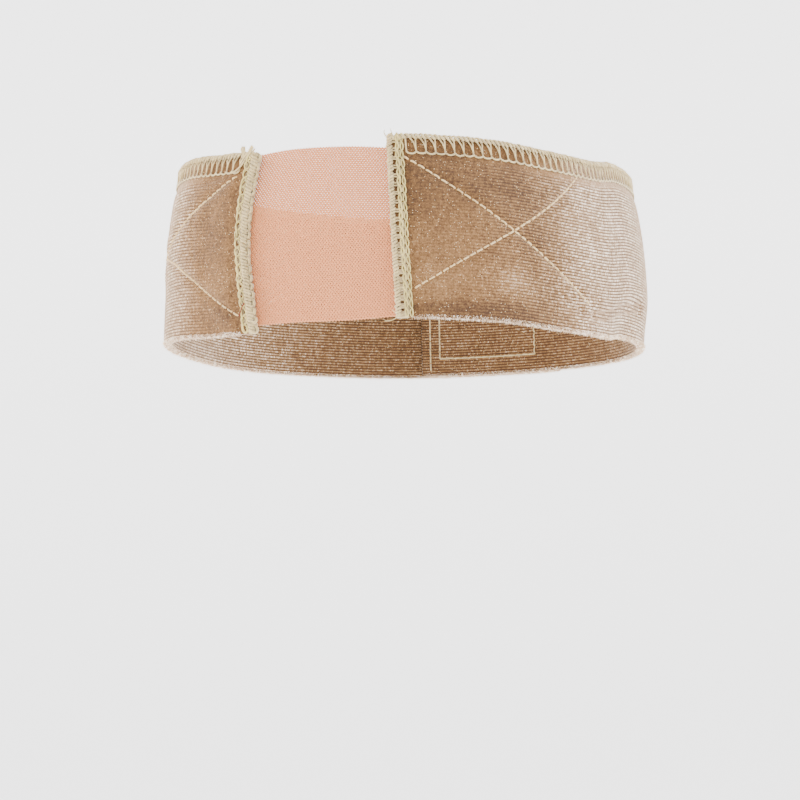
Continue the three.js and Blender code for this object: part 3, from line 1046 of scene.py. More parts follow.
# %% The shapes of the stitches
STRAIGHT = [(0, 0), (1, 1)]
LEVEL = [(0, 0), (1, 0)]
EIGHTHS = [i / 8 for i in range(9)]
SINE = list(zip(EIGHTHS, (0, 0.7, 1, 0.7, 0, -0.7, -1, -0.7, 0)))
COSINE = list(zip(EIGHTHS, (1, 0.7, 0, -0.7, -1, -0.7, 0, 0.7, 1)))
STITCHES = {
    # From a needle hole straight up, over the edge, to the inner needle hole, and back slanting.
    "overlock wrap": dict(
        forward=[(0, 0), (0.22, -0.04), (0.48, 0.05), (0.7, 0.14), (0.86, 0.86), (1, 1)],
        across=[(0, 0), (0.22, 0.42), (0.48, 1), (0.7, 0.52), (0.86, 0.2), (1, 0)],
        lift=[(0, 0), (0.12, 0.4), (0.24, 1), (0.48, 0), (0.68, 1), (0.84, 0.5), (1, 0)],
    ),
    # Rungs: out to the edge and back beside itself, then along to the next.
    "overlock rung": dict(
        forward=[(0, 0), (0.22, 0), (0.45, 0.1), (0.68, 0.26), (0.88, 0.32), (1, 1)],
        across=[(0, 0), (0.22, 0.45), (0.45, 1), (0.68, 0.55), (0.88, 0.02), (1, 0)],
        lift=[(0, 0), (0.1, 1), (0.4, 1), (0.5, 0), (0.6, 1), (0.85, 1), (1, 0)],
    ),
    # Hangs from needle hole to needle hole.
    "garland": dict(
        forward=STRAIGHT,
        across=[(0, 0), (0.2, -0.75), (0.5, -1), (0.8, -0.75), (1, 0)],
        lift=[(0, 1), (0.5, 0.2), (1, 1)],
    ),
    "first ply": dict(forward=STRAIGHT, across=COSINE, lift=SINE),
    "second ply": dict(
        forward=STRAIGHT,
        across=[(turn, -way) for turn, way in COSINE],
        lift=[(turn, -way) for turn, way in SINE],
    ),
    # A loop of the chain: out round one side and back under the next loop.
    "chain, one side": dict(
        forward=STRAIGHT,
        across=[(0, -0.35), (0.4, 1), (0.75, 0.75), (1, -0.35)],
        lift=[(0, 1), (0.5, 0.2), (1, 0)],
    ),
    "chain, other side": dict(
        forward=STRAIGHT,
        across=[(0, 0.35), (0.4, -1), (0.75, -0.75), (1, 0.35)],
        lift=[(0, 0), (0.5, 0.2), (1, 1)],
    ),
    "lockstitch": dict(
        forward=STRAIGHT,
        across=LEVEL,
        lift=[(0, -2.2), (0.15, -0.4), (0.3, 0.6), (0.5, 1), (0.7, 0.6), (0.85, -0.4), (1, -2.2)],
    ),
}
sewing = {name: thread_tree(name, **shape) for name, shape in STITCHES.items()}

# %% [markdown]
# ## Spun polyester thread
#
# Overlock seams are sewn with spun polyester: soft, slightly hairy and matt, in cream with a hint
# of green. Its fibres are too fine to draw one by one, so fine noise paints paler specks into the
# colour, partly their own tone and partly painted highlights, and gives a bump.


# %% Material: spun polyester thread
STRAND = 0.3 * mm  # real ones are finer, and drawn this coarse to show
THREAD_PATCH = 3 * mm


def spun_thread(name, base, light):
    """Thread whose fibres show as small paler specks, partly their own tone and partly painted highlights,
    in patches that are a little paler.
    """
    material, tree, shader = new_material(name, base, 0.7)
    where = add(tree, "ShaderNodeTexCoord").outputs["Object"]
    strands = add(tree, "ShaderNodeTexNoise", {"Vector": where, "Scale": 1 / STRAND, "Detail": 3.0})
    patches = add(tree, "ShaderNodeTexNoise", {"Vector": where, "Scale": 1 / THREAD_PATCH, "Detail": 2.0})
    strand_tone = add(tree, MATH, (strands, 0.7, -0.25), operation="MULTIPLY_ADD")
    tone = add(tree, MATH, (patches, 0.6, strand_tone), operation="MULTIPLY_ADD")
    colour = add(tree, "ShaderNodeValToRGB", {"Fac": tone}, stops=[(0.1, base), (0.75, light)])
    bump = add(tree, "ShaderNodeBump", {"Height": strands, "Strength": 0.5, "Distance": 0.1 * mm})
    looks = {"Base Color": colour, "Normal": bump, "Sheen Weight": 0.45, "Sheen Roughness": 0.4, "IOR": 1.5}
    connect(tree, shader, looks)
    return material


thread = spun_thread("spun polyester thread", "#7e6a42", "#d3bd88")
chain_thread = spun_thread("spun polyester thread, yellower", "#82713a", "#d6c278")
cross_thread = spun_thread("spun polyester thread, golden", "#9f7d49", "#e4c892")
# A darker copy of the same thread: its colour is painted shade, for rungs that lie in the seam's shade.
shaded_copy_thread = spun_thread("spun polyester thread, painted shaded copy", "#6e5c3c", "#b49c70")


# %% Sewing helpers
def sew(
    name, guide, kind, ends, pitch, material, width=0.0, base=0.3, lift=0.2, radius=0.22, loose=0.15, seed=0
):
    """Sews one thread on a guide between two ends. Sizes are in millimetres."""
    values = {
        "Stitches": max(1, round(math.dist(*ends) / pitch)),
        "Seed": float(seed),
        "Material": material,
    }
    for label, (along, across) in zip(("Start", "End"), ends):
        values[label] = (along * mm, across * mm, 0.0)
    sizes = {"Width": width, "Base": base, "Lift": lift, "Thread": radius, "Looseness": loose}
    values.update({label: size * mm for label, size in sizes.items()})
    return run_tree(sewing[kind], name, values, start=guide)


def joined(name, meshes):
    """One mesh of several, with their materials."""
    both = bmesh.new()
    materials = []
    for mesh in meshes:
        material = mesh.materials[0]
        if material not in materials:
            materials.append(material)
        first = len(both.faces)
        both.from_mesh(mesh)
        both.faces.ensure_lookup_table()
        for i in range(first, len(both.faces)):
            both.faces[i].material_index = materials.index(material)
    result = bpy.data.meshes.new(name)
    both.to_mesh(result)
    both.free()
    for material in materials:
        result.materials.append(material)
    return result


# %% [markdown]
# ## Overlock along the raw top edge
#
# An overlock machine trims the raw edge and wraps it: a thread comes up from each needle hole,
# goes over the edge and comes back slanting, another hangs along the needle holes on each face,
# and two cords of two plies lie on the edge itself. It could be one textured strip, but then it
# would be flat from the side, so every thread is sewn.

# %% Top overlock
TOP_PITCH = 3.1
TOP_START = 5.6
CORD_MARGIN = 0.6  # from the cord's ends to the strap's
GARLAND_ROW = 0.1
GARLAND_SWING = 0.75  # how far it hangs from the needle line
TOP_CORD_ROWS = (-0.75, 0.75)  # from the middle of the edge
PLIES = ("first ply", "second ply")
WRAP = dict(base=0.3, lift=0.9, radius=0.24, loose=0.45)
GARLAND = dict(radius=0.27, loose=0.3)
TOP_CORD = dict(width=0.5, base=0.85, lift=0.35, radius=0.36, loose=0.8)


def top_overlock(side):
    """Every thread of the seam along a strap's top edge."""
    name = f"{side}_top_overlock"
    last = STRAP_LENGTH / mm - CORD_MARGIN
    girth = seam_girth(TOP_NEEDLE) / mm
    sewn = partial(sew, name, top_guide(side), pitch=TOP_PITCH, material=thread)

    def line(row, first=TOP_START):
        return (first, row), (last, row)

    threads = [
        sewn("overlock wrap", line(0), width=girth, seed=1, **WRAP),
        sewn("garland", line(GARLAND_ROW), width=GARLAND_SWING, seed=2, **GARLAND),
        sewn("garland", line(girth - GARLAND_ROW), width=-GARLAND_SWING, seed=3, **GARLAND),
    ]
    for seed, (ply, row) in enumerate(itertools.product(PLIES, TOP_CORD_ROWS), start=4):
        threads.append(sewn(ply, line(girth / 2 + row, CORD_MARGIN), seed=seed, **TOP_CORD))
    return joined(name, threads)


for side in STRAPS:
    name = f"{side}_top_overlock_threads"
    finish_piece(top_overlock(side), name, [f"top_overlock_{side}"])

# %% [markdown]
# ## Overlock down the front ends
#
# The front ends are sewn to the net with a narrower, denser seam: raised cords on the edge, rungs
# from needle line to needle line, and one or two chains of loops in a yellower thread on each face.

# %% Front overlock
FRONT_PITCH = 2.85
EDGE_CORD_PITCH = 0.75 * FRONT_PITCH
SLACK_PITCH = 1.6 * FRONT_PITCH
SLACK_ROW = 0.7
FRONT_LOW = 0.2  # where the seam starts, above the fold
FRONT_PAST_TOP = 0.9  # how far it runs past the top of the cloth
RUNG_SHIFT = 0.5  # of each pass of rungs from the one before, so that they cross
EDGE_CORD_ROWS = (-1.0, 1.0)  # from the middle of the edge
# Rungs as (first row, top end, pitch, thread). The lower part of the left seam is sewn over again. Some
# rungs use the darker copy of the thread, whose colour is painted shade.
FRONT_RUNGS = {
    "left": [
        (1.0, 60, FRONT_PITCH, thread),
        (1.3, 34, FRONT_PITCH, shaded_copy_thread),
        (1.2, 30, 2.2, shaded_copy_thread),
    ],
    "right": [
        (1.9, 60, 1.5, thread),
        (1.7, 60, 2.0, shaded_copy_thread),
        (2.0, 60, 1.7, thread),
        (0.9, 60, 3.3, shaded_copy_thread),
    ],
}
# Chains as (row, width, radius, base).
FRONT_CHAINS = {
    "left": [(0.3, 0.4, 0.22, 0.55), (1.8, 0.4, 0.28, 0.8)],
    "right": [(1.0, 0.95, 0.28, 0.65)],
}
CHAIN_SIDES = ("chain, one side", "chain, other side")
RUNG = dict(lift=0.3, radius=0.24, loose=0.8)
FRONT_CORD = dict(width=0.4, base=0.7, lift=0.35, radius=0.34, loose=0.7)
CHAIN = dict(lift=0.35, loose=0.6)
EDGE_LINE = dict(base=0.85, lift=0.35, radius=0.34, loose=0.5)
SLACK_LINE = dict(base=0.9, lift=0.3, radius=0.26, loose=1.6)


def front_overlock(side):
    """Every thread of the seam down a strap's front end."""
    name = f"{side}_front_overlock"
    low, high = FRONT_LOW, CLOTH_HEIGHT / mm + FRONT_PAST_TOP
    girth = seam_girth(FRONT_NEEDLE[side]) / mm
    sewn = partial(sew, name, front_guide(side))

    def line(row):
        return (low, row), (high, row)

    threads = []
    for seed, (row, top, pitch, material) in enumerate(FRONT_RUNGS[side]):
        ends = (low + RUNG_SHIFT * seed, row), (min(top, high), row)
        width = girth - 2 * row
        threads.append(sewn("overlock rung", ends, pitch, material, width=width, seed=seed, **RUNG))
    for seed, (ply, row) in enumerate(itertools.product(PLIES, EDGE_CORD_ROWS), start=50):
        ends = line(girth / 2 + row)
        threads.append(sewn(ply, ends, EDGE_CORD_PITCH, thread, seed=seed, **FRONT_CORD))
    for number, (row, width, radius, base) in enumerate(FRONT_CHAINS[side]):
        sizes = dict(width=width, radius=radius, base=base, seed=10 + 3 * number, **CHAIN)
        for kind, place in itertools.product(CHAIN_SIDES, (row, girth - row)):
            threads.append(sewn(kind, line(place), FRONT_PITCH, chain_thread, **sizes))
    if side == "right":
        edge, slack = line(girth / 2), line(SLACK_ROW)
        threads.append(sewn("lockstitch", edge, FRONT_PITCH, thread, seed=40, **EDGE_LINE))
        threads.append(sewn("lockstitch", slack, SLACK_PITCH, chain_thread, seed=31, **SLACK_LINE))
    return joined(name, threads)


for side in STRAPS:
    name = f"{side}_front_overlock_threads"
    finish_piece(front_overlock(side), name, [f"front_overlock_{side}"])

# %% [markdown]
# ## Crossed lines of lockstitch
#
# A lockstitch shows as a row of small humps, each dipping into a needle hole at both ends. The same
# tree sews it along both crossed lines of each strap.

# %% Crossed stitches
LOCKSTITCH = 2.7
CROSS_REACH = 100 * mm
STITCH_BASE = -0.12
DEEP_STITCH_BASE = -0.34
CROSS_STITCH = dict(lift=0.42, radius=0.33, loose=0.35)


def crossed_stitches(side):
    """Both lines on both faces. Beyond the cross the stitches lie deeper in the pile."""
    name = f"{side}_crossed_stitches"
    lines = CROSS_STITCHES[side]
    cross_along = set.intersection(*map(set, lines)).pop()[0]
    threads = []
    for face in (1, -1):
        guide = face_guide(side, face, 0, CROSS_REACH)
        for number, line in enumerate(lines):
            for ends in zip(line, line[1:]):
                base = DEEP_STITCH_BASE if ends[0][0] >= cross_along else STITCH_BASE
                sizes = dict(base=base, seed=number, **CROSS_STITCH)
                threads.append(sew(name, guide, "lockstitch", ends, LOCKSTITCH, cross_thread, **sizes))
    return joined(name, threads)


for side in STRAPS:
    finish_piece(crossed_stitches(side), f"{side}_crossed_stitches")

# %% [markdown]
# ## Pile that opens at the fold
#
# Where velvet is folded its pile opens, and the tips of the fibres catch the light as a pale,
# glittering line. A hair system would do, but the result has to be a plain mesh, so Geometry Nodes
# scatter small spikes over a narrow guide round the fold. Their pale colour is a painted highlight
# for the light the tips catch, on top of their sheen.

# %% Geometry Nodes: pile tips
TIP_LENGTH = 0.7 * mm
TIP_RADIUS = 0.09 * mm  # of a clump of fibres
TIPS_PER_MM2 = 9.0
TIP_SIDES = 3
TIP_POINT = 0.01 * mm
TIP_LEAN = 0.6
TIP_SIZES = (0.45, 1.25)
FOLD_REACH = 1.7 * mm
FOLD_STEP = 0.3 * mm


def stray_turn(tree, lean, seed):
    """The turn of something that stands on a guide and leans a random way."""
    out = add(tree, "GeometryNodeInputNamedAttribute", {"Name": "out"}, data_type="FLOAT_VECTOR")
    leans = {0: (-lean,) * 3, 1: (lean,) * 3, "Seed": seed}
    stray = add(tree, "FunctionNodeRandomValue", leans, data_type="FLOAT_VECTOR")
    leaning = add(tree, VECTOR_MATH, (out, stray), operation="ADD")
    return add(tree, "FunctionNodeAlignRotationToVector", {"Vector": leaning}, axis="Z")


def pile_tree():
    """Scatters leaning spikes over a guide."""
    tree, given = new_tree("pile tips", floats=("Density", "Length", "Radius"), whole=("Seed",))
    ground = {"Mesh": given["Geometry"], "Density": given["Density"], "Seed": given["Seed"]}
    roots = add(tree, "GeometryNodeDistributePointsOnFaces", ground)
    turned = stray_turn(tree, TIP_LEAN, given["Seed"])
    sizes = {"Radius Top": TIP_POINT, "Radius Bottom": given["Radius"], "Depth": given["Length"]}
    spike = add(tree, "GeometryNodeMeshCone", {"Vertices": TIP_SIDES, **sizes})
    smallest, largest = TIP_SIZES
    size = {2: smallest, 3: largest, "Seed": given["Seed"]}
    scale = add(tree, "FunctionNodeRandomValue", size, data_type="FLOAT").outputs[1]
    tips = add(
        tree,
        "GeometryNodeInstanceOnPoints",
        {"Points": roots, "Instance": spike, "Rotation": turned, "Scale": scale},
    )
    end_tree(tree, tips, given["Material"])
    return tree


# %% The pile at the fold
def fold_guide(side):
    columns = even(FRONT_SEAM_WIDTH + EDGE_MARGIN, STRAP_LENGTH - CLEARANCE, GUIDE_STEP)
    rows = even(-FOLD_REACH, FOLD_REACH, FOLD_STEP)
    height, depth = hairpin(rows[None, :], HALF_THICKNESS)
    places = on_strap(side, columns[:, None], height, depth)
    return guide_mesh(f"{side}_fold_guide", places, columns, rows, STRAPS[side]["sign"])


TIP_PATCH = 1.2 * mm
# Painted highlight: the tips are coloured much paler than the velvet, for the light they catch.
TIP_HIGHLIGHT_TONES = [(0.35, "#9a7650"), (0.5, "#d3b896"), (0.62, "#fbf0e2")]
painted_pale_tips, tip_tree, tip_shader = new_material("velvet pile tips, painted pale", "#d9c6b0", 0.5)
tip_where = add(tip_tree, "ShaderNodeTexCoord").outputs["Object"]
tip_patches = {"Vector": tip_where, "Scale": 1 / TIP_PATCH, "Detail": 2.0}
tip_tone = add(tip_tree, "ShaderNodeTexNoise", tip_patches)
tip_highlight_colour = add(tip_tree, "ShaderNodeValToRGB", {"Fac": tip_tone}, stops=TIP_HIGHLIGHT_TONES)
connect(tip_tree, tip_shader, {"Base Color": tip_highlight_colour, "Sheen Weight": 1.0, "Sheen Roughness": 0.3})

growing = pile_tree()
for number, side in enumerate(STRAPS):
    name = f"{side}_fold_pile"
    sizes = {"Density": TIPS_PER_MM2 / mm**2, "Length": TIP_LENGTH, "Radius": TIP_RADIUS}
    values = {**sizes, "Seed": number, "Material": painted_pale_tips}
    finish_piece(run_tree(growing, name, values, start=fold_guide(side)), name)

# %% [markdown]
# ## Loose thread ends
#
# Where a seam starts or stops, the machine leaves thread ends a few millimetres long, and a fibre of
# lint has caught in one seam. They make a sewn thing look sewn. Each is a smooth curve through a
# few points, given on the strap's cloth, that a small tree turns into a tapering thread.

# %% Geometry Nodes: a loose end
END_STEPS = 14


def loose_end_tree():
    """Turns a line of edges into a thread that gets thinner towards its tip."""
    tree, given = new_tree("loose end", floats=("Radius", "Tip"))
    curve = add(tree, "GeometryNodeMeshToCurve", {"Mesh": given["Geometry"]})
    share = add(tree, "GeometryNodeSplineParameter")
    taper = add(tree, "ShaderNodeMapRange", {0: share, 3: 1.0, 4: given["Tip"]})
    thin = tube(tree, curve, given["Radius"], Scale=taper)
    soft = add(tree, "GeometryNodeSetShadeSmooth", {"Geometry": thin})
    end_tree(tree, soft, given["Material"])
    return tree


def smooth_line(name, places):
    """A mesh of edges along a smooth curve through a few places."""
    steps = np.linspace(0, len(places) - 1, END_STEPS)
    rows = [dict(step=step, x=x, y=y, z=z) for step, (x, y, z) in enumerate(places)]
    points = np.stack([read_table(rows, "step", steps, axis) for axis in "xyz"], -1)
    mesh = bpy.data.meshes.new(name)
    mesh.from_pydata(points.tolist(), [(i, i + 1) for i in range(END_STEPS - 1)], [])
    return mesh


# %% Where the loose ends are
# Each is (radius, its tip as a share of that, places as (along, height, depth)), in millimetres.
LOOSE_ENDS = {
    "left": [
        (0.2, 0.5, [(2.0, 1.2, 1.9), (0.2, 0.2, 2.2), (-2.0, -0.9, 1.8), (-4.2, -0.9, 1.2)]),
        (0.24, 0.4, [(0.8, 1.4, 2.0), (-0.6, 1.6, 2.4), (-1.5, 2.5, 2.2)]),
        (0.2, 0.4, [(1.6, 58.6, 1.2), (1.0, 60.2, 1.4), (0.6, 61.4, 1.0)]),
        (0.2, 0.6, [(-0.9, 59.0, 0.6), (-1.5, 60.2, 0.8), (-1.2, 61.0, 0.9)]),
    ],
    "right": [
        (0.45, 0.75, [(3.8, 57.2, 2.0), (4.8, 59.2, 2.3), (5.9, 61.0, 2.1)]),
        (0.42, 0.75, [(4.2, 57.0, 2.0), (5.2, 58.9, 2.3), (6.2, 60.5, 2.1)]),
        (0.42, 0.75, [(3.6, 57.4, 1.6), (4.6, 59.3, 1.8), (5.5, 61.2, 1.6)]),
        (0.45, 0.75, [(3.2, 57.2, 2.0), (2.4, 59.4, 2.4), (1.9, 61.4, 2.1)]),
        (0.42, 0.75, [(2.8, 57.2, 2.0), (2.0, 59.2, 2.3), (1.4, 61.0, 2.0)]),
        (0.3, 1.0, [(9.6, 52.8, 1.2), (6.6, 53.6, 1.7), (4.4, 55.4, 2.1), (3.2, 57.6, 2.2)]),
        (0.34, 0.7, [(2.4, 57.4, 1.6), (1.6, 59.2, 1.8), (0.9, 60.6, 1.5)]),
        (0.36, 0.4, [(5.2, 55.4, 2.2), (3.6, 57.8, 2.6), (1.8, 60.2, 2.4)]),
        (0.3, 0.3, [(1.4, 1.0, 1.2), (-0.6, 0.2, 1.6), (-2.2, -0.6, 1.0)]),
    ],
}
LINT = (0.24, 0.7, [(0.6, 9.8, 3.6), (1.4, 8.6, 3.9), (2.2, 7.1, 3.8), (3.1, 5.6, 3.5)])
LINT_PATCH = 0.8 * mm
LINT_TONES = [(0.3, "#3f1206"), (0.7, "#74290f")]
loose_ends = loose_end_tree()
lint_material, lint_tree, lint_shader = new_material("stray dyed fibre", "#5a1f0b", 0.9)
lint_noise = add(lint_tree, "ShaderNodeTexNoise", {"Scale": 1 / LINT_PATCH})
lint_colour = add(lint_tree, "ShaderNodeValToRGB", {"Fac": lint_noise}, stops=LINT_TONES)
connect(lint_tree, lint_shader, {"Base Color": lint_colour})


def loose_end(name, side, end, material):
    radius, tip, places = end
    along, height, depth = np.array(places).T * mm
    values = {"Radius": radius * mm, "Tip": tip, "Material": material}
    line = smooth_line(name, on_strap(side, along, height, depth))
    return run_tree(loose_ends, name, values, start=line)


for side in STRAPS:
    name = f"{side}_loose_ends"
    ends = [loose_end(name, side, end, thread) for end in LOOSE_ENDS[side]]
    if side == "right":
        ends.append(loose_end("lint", side, LINT, lint_material))
    finish_piece(joined(name, ends), name)

# %% [markdown]
# ## The closure at the nape
#
# The photograph doesn't show how the band closes. Such bands have hook-and-loop tape at the nape:
# hooks on the inside of the strap that goes over, loops on the outside of the strap that goes under.
# Each tape is a thin woven wall, and Geometry Nodes stand the hooks and the loops on it. A box of
# lockstitch holds each tape, and shows on the other side of its strap.

# %% Tapes
TAPE_WALL = 0.5 * mm
TAPE_MARGIN = 5 * mm
TAPE_STEP = 1.6 * mm
TAPE_HALF_LENGTH = STRAP_OVERLAP / 2 - TAPE_MARGIN
TAPE_LOW = TAPE_MARGIN
TAPE_HIGH = CLOTH_HEIGHT - TOP_SEAM_WIDTH - TAPE_MARGIN
TAPE_INNER = 2 * HALF_THICKNESS + CLEARANCE
TAPE_OUTER = NAPE_LIFT - CLEARANCE
TAPE_CORNER = 3 * mm


def tape_places(depths):
    """A grid of places over the tape, with rounded corners, at one or more depths off the head."""
    columns = even(-TAPE_HALF_LENGTH, TAPE_HALF_LENGTH, TAPE_STEP)
    inset = np.maximum(0, np.abs(columns) - TAPE_HALF_LENGTH + TAPE_CORNER)
    trim = TAPE_CORNER - np.sqrt(np.maximum(0, TAPE_CORNER**2 - inset**2))
    up = even(0, 1, TAPE_STEP / (TAPE_HIGH - TAPE_LOW))
    heights = TAPE_LOW + trim[:, None] + (TAPE_HIGH - TAPE_LOW - 2 * trim[:, None]) * up
    return [on_head(HALF_ROUND + columns[:, None], heights, depth) for depth in depths], columns, heights


def tape_wall(name, inner, outer, material):
    """A closed thin wall between two depths off the head."""
    (below, above), columns, heights = tape_places((inner, outer))
    n, m = below.shape[:2]
    index = np.arange(n * m).reshape(n, m)
    sheet = grid_quads(index)
    rim = np.concatenate([index[:-1, 0], index[-1, :-1], index[:0:-1, -1], index[0, :0:-1]])
    walls = np.stack([rim, rim + n * m, np.roll(rim, -1) + n * m, np.roll(rim, -1)], -1)
    faces = np.concatenate([sheet[:, ::-1], sheet + n * m, walls])
    mesh = bpy.data.meshes.new(name)
    points = np.concatenate([below.reshape(-1, 3), above.reshape(-1, 3)])
    mesh.from_pydata(points.tolist(), [], faces.tolist())
    mesh.materials.append(material)
    checked = bmesh.new()
    checked.from_mesh(mesh)
    bmesh.ops.recalc_face_normals(checked, faces=checked.faces)
    checked.to_mesh(mesh)
    checked.free()
    return mesh


def tape_ground(name, depth, sign):
    """A guide just inside the tape's edge, whose points carry the hooks or the loops."""
    (places,), columns, heights = tape_places((depth,))
    inside = places[1:-1, 1:-1]
    return guide_mesh(name, inside, columns[1:-1], heights[len(columns) // 2, 1:-1], sign)


# %% Geometry Nodes: hooks and loops
HOOK_HEIGHT = 0.55 * mm
HOOK_WIRE = 0.09 * mm
HOOK_STEPS = 6
HOOK_SIDES = 4
HOOK_LEAN = 0.25


def hook_tree():
    """Stands a bent wire on each point: a hook if it ends in the air, a loop if it lands."""
    sizes = ("Height", "Reach", "Landing", "Wire")
    tree, given = new_tree("hooks or loops", floats=sizes, whole=("Seed",))
    top = add(tree, MATH, (given["Height"], 2.0), operation="MULTIPLY")
    half = add(tree, MATH, (given["Reach"], 0.5), operation="MULTIPLY")
    bend = add(tree, "ShaderNodeCombineXYZ", {0: half, 2: top})
    end = add(tree, "ShaderNodeCombineXYZ", {0: given["Reach"], 2: given["Landing"]})
    places = {"Start": (0.0, 0.0, 0.0), "Middle": bend, "End": end}
    wire = add(tree, "GeometryNodeCurveQuadraticBezier", {"Resolution": HOOK_STEPS, **places})
    bent = tube(tree, wire, given["Wire"], HOOK_SIDES)
    turned = stray_turn(tree, HOOK_LEAN, given["Seed"])
    standing = {"Points": given["Geometry"], "Instance": bent, "Rotation": turned}
    placed = add(tree, "GeometryNodeInstanceOnPoints", standing)
    end_tree(tree, placed, given["Material"])
    return tree


# %% Material: woven nylon tape
TAPE_YARN = 0.6 * mm
TAPE_FUZZ = 0.4 * mm


def woven_tape(name, base, light):
    """Nylon tape: plain weave, seen as small squares of slightly different shine."""
    material, tree, shader = new_material(name, base, 0.5)
    where = add(tree, "ShaderNodeTexCoord").outputs["Object"]
    weave = add(tree, "ShaderNodeTexChecker", {"Vector": where, "Scale": 1 / TAPE_YARN})
    fuzz = add(tree, "ShaderNodeTexNoise", {"Vector": where, "Scale": 1 / TAPE_FUZZ, "Detail": 3.0})
    tone = add(tree, MATH, (weave.outputs["Fac"], 0.35, fuzz), operation="MULTIPLY_ADD")
    colour = add(tree, "ShaderNodeValToRGB", {"Fac": tone}, stops=[(0.3, base), (0.9, light)])
    bump = add(tree, "ShaderNodeBump", {"Height": tone, "Strength": 0.6, "Distance": 0.15 * mm})
    connect(tree, shader, {"Base Color": colour, "Normal": bump})
    return material


# %% The two tapes
tape = woven_tape("woven nylon tape", "#a08458", "#d9c197")
hooks_and_loops = hook_tree()


def tape_piece(name, wall, ground_depth, sign, values):
    """A tape's wall with its hooks or loops, as one piece in place of the CAD model's patch."""
    fixed = {"Height": HOOK_HEIGHT, "Wire": HOOK_WIRE, "Material": tape}
    ground = tape_ground(name, ground_depth, sign)
    pile = run_tree(hooks_and_loops, name, {**fixed, **values}, start=ground)
    mesh = joined(name, [tape_wall(name, *wall, tape), pile])
    return finish_piece(mesh, name, ["closure_patch"])


tape_piece(
    "loop_tape",
    (TAPE_INNER, TAPE_INNER + TAPE_WALL),
    TAPE_INNER + TAPE_WALL,
    1,
    {"Reach": 0.9 * mm, "Landing": 0.0, "Seed": 1},
)
tape_piece(
    "hook_tape",
    (TAPE_OUTER - TAPE_WALL, TAPE_OUTER),
    TAPE_OUTER - TAPE_WALL,
    -1,
    {"Reach": 0.45 * mm, "Landing": 0.25 * mm, "Seed": 2},
)

# %% Stitches that hold the tapes, and a line across each strap's end
END_HEM = 3.0
TAPE_SEAM_INSET = 1.5
HEM_LOW = 2.0
NAPE_ALONG = (HALF_ROUND - STRAP_START) / mm
NAPE_STITCH = dict(base=0.08, lift=0.28, radius=0.24, loose=0.2)


def nape_stitches(side, face):
    """A box of stitches round the tape, and one line across near the strap's end, where a turned-in end
    would be sewn down.
    """
    name = f"{side}_nape_stitches"
    last = STRAP_LENGTH - EDGE_MARGIN
    guide = face_guide(side, face, last - STRAP_OVERLAP, last)
    reach = TAPE_HALF_LENGTH / mm - TAPE_SEAM_INSET
    low, high = TAPE_LOW / mm + TAPE_SEAM_INSET, TAPE_HIGH / mm - TAPE_SEAM_INSET
    near, far = NAPE_ALONG - reach, NAPE_ALONG + reach
    corners = [(near, low), (far, low), (far, high), (near, high)]
    lines = list(zip(corners, corners[1:] + corners[:1]))
    hem = STRAP_LENGTH / mm - END_HEM
    lines.append(((hem, HEM_LOW), (hem, SEAM_LOW / mm)))
    sewn = partial(sew, name, guide, "lockstitch", pitch=LOCKSTITCH, material=thread, **NAPE_STITCH)
    return joined(name, [sewn(ends, seed=seed) for seed, ends in enumerate(lines)])


for side, face in (("left", -1), ("right", 1)):
    finish_piece(nape_stitches(side, face), f"{side}_nape_stitches")

# %% [markdown]
# ## The net window
#
# Wig net is knitted from one fine yarn into rows of six-sided holes. A pierced sheet would have no
# yarn, so each row is one wavy strand, and rows are set half a hole apart, so that they touch where
# the yarn loops through. Real yarn is finer, and it is drawn as thick as it needs to be to show.

# %% Geometry Nodes: net
NET_HOLE = 1.06 * mm
NET_ROW = 0.68 * mm
NET_YARN = 0.335 * mm
NET_FLATNESS = 0.5
NET_HALF_WIDTH = STRAP_START + FRONT_SEAM_WIDTH
NET_STEPS = 4
NET_WAVE = [(0, 0), (0.25, 0.5), (0.5, 1), (0.75, 0.5), (1, 0)]
NET_YARN_SIDES = 4
NET_MARGIN = 2 * mm
NET_GUIDE_COLUMN = 1.5 * mm
NET_GUIDE_ROW = 2 * mm


def net_guide():
    columns = even(-NET_HALF_WIDTH - NET_MARGIN, NET_HALF_WIDTH + NET_MARGIN, NET_GUIDE_COLUMN)
    rows = even(-NET_MARGIN, CLOTH_HEIGHT + NET_MARGIN, NET_GUIDE_ROW)
    across = columns[:, None] / NET_HALF_WIDTH
    low, high = (CLOTH_HEIGHT * read_table(NET_EDGES, "across", across, edge) for edge in ("low", "high"))
    heights = low + (high - low) * rows[None, :] / CLOTH_HEIGHT
    places = on_head(columns[:, None], heights, NET_CLOTH / 2)
    return guide_mesh("net_guide", places, columns, rows, 1)


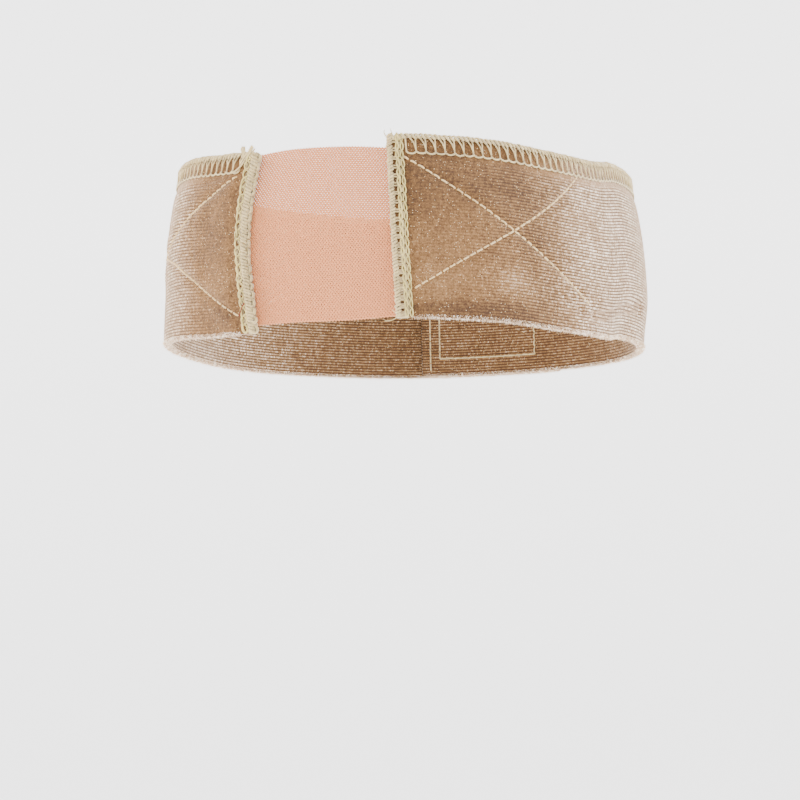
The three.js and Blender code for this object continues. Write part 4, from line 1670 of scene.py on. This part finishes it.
def net_tree():
    """Rows of wavy strands, every other row moved by half a hole, pressed flat onto the guide."""
    sizes = ("Hole", "Row", "Yarn", "Flatness")
    tree, given = new_tree("hexagonal net", floats=sizes, whole=("Holes", "Rows"))
    count = add(tree, MATH, (given["Holes"], NET_STEPS, 1.0), operation="MULTIPLY_ADD")
    line = add(tree, "GeometryNodeMeshLine", {"Count": count})
    index = add(tree, "GeometryNodeInputIndex")
    turn = add(tree, MATH, (index, NET_STEPS), operation="DIVIDE")
    phase = add(tree, MATH, (turn,), operation="FRACT")
    wave = add(tree, "ShaderNodeFloatCurve", {"Value": phase}, points=NET_WAVE)
    along = add(tree, MATH, (turn, given["Hole"]), operation="MULTIPLY")
    swing = add(tree, MATH, (wave, given["Row"]), operation="MULTIPLY")
    place = add(tree, "ShaderNodeCombineXYZ", (along, swing))
    strand = add(tree, "GeometryNodeSetPosition", {"Geometry": line, "Position": place})

    starts = add(tree, "GeometryNodeMeshLine", {"Count": given["Rows"]})
    odd = add(tree, MATH, (index, 2.0), operation="MODULO")
    shift = add(tree, MATH, (odd, 0.5), operation="MULTIPLY")
    middle = add(tree, MATH, (given["Holes"], -0.5, shift), operation="MULTIPLY_ADD")
    first = add(tree, MATH, (middle, given["Hole"]), operation="MULTIPLY")
    height = add(tree, MATH, (index, given["Row"]), operation="MULTIPLY")
    start_place = add(tree, "ShaderNodeCombineXYZ", (first, height))
    placed = add(tree, "GeometryNodeSetPosition", {"Geometry": starts, "Position": start_place})
    rows = add(tree, "GeometryNodeInstanceOnPoints", {"Points": placed, "Instance": strand})
    real = add(tree, "GeometryNodeRealizeInstances", {"Geometry": rows})
    curve = add(tree, "GeometryNodeMeshToCurve", {"Mesh": real})
    yarn = tube(tree, curve, given["Yarn"], NET_YARN_SIDES)
    thin = add(tree, "ShaderNodeCombineXYZ", (1.0, 1.0, given["Flatness"]))
    position = add(tree, "GeometryNodeInputPosition")
    flat = add(tree, VECTOR_MATH, (position, thin), operation="MULTIPLY")
    pressed = add(tree, "GeometryNodeSetPosition", {"Geometry": yarn, "Position": flat})
    end_tree(tree, wrap(tree, pressed, given["Geometry"]), given["Material"])
    return tree


# %% The net, knitted and laid
net, net_shader_tree, net_shader = new_material("nylon wig net", "#c47a48", 0.6)
connect(net_shader_tree, net_shader, {"Sheen Weight": 0.1, "IOR": 1.53})
net_holes = round(2 * NET_HALF_WIDTH / NET_HOLE)
net_rows = round(CLOTH_HEIGHT / NET_ROW) - 1
net_mesh = run_tree(
    net_tree(),
    "net_window",
    {
        "Holes": net_holes,
        "Rows": net_rows,
        "Hole": 2 * NET_HALF_WIDTH / net_holes,
        "Row": CLOTH_HEIGHT / (net_rows + 1),
        "Yarn": NET_YARN,
        "Flatness": NET_FLATNESS,
        "Material": net,
    },
    start=net_guide(),
)
net_piece = finish_piece(net_mesh, "net_window", ["lace_window"])
print("net:", net_holes, "holes in", net_rows, "rows")
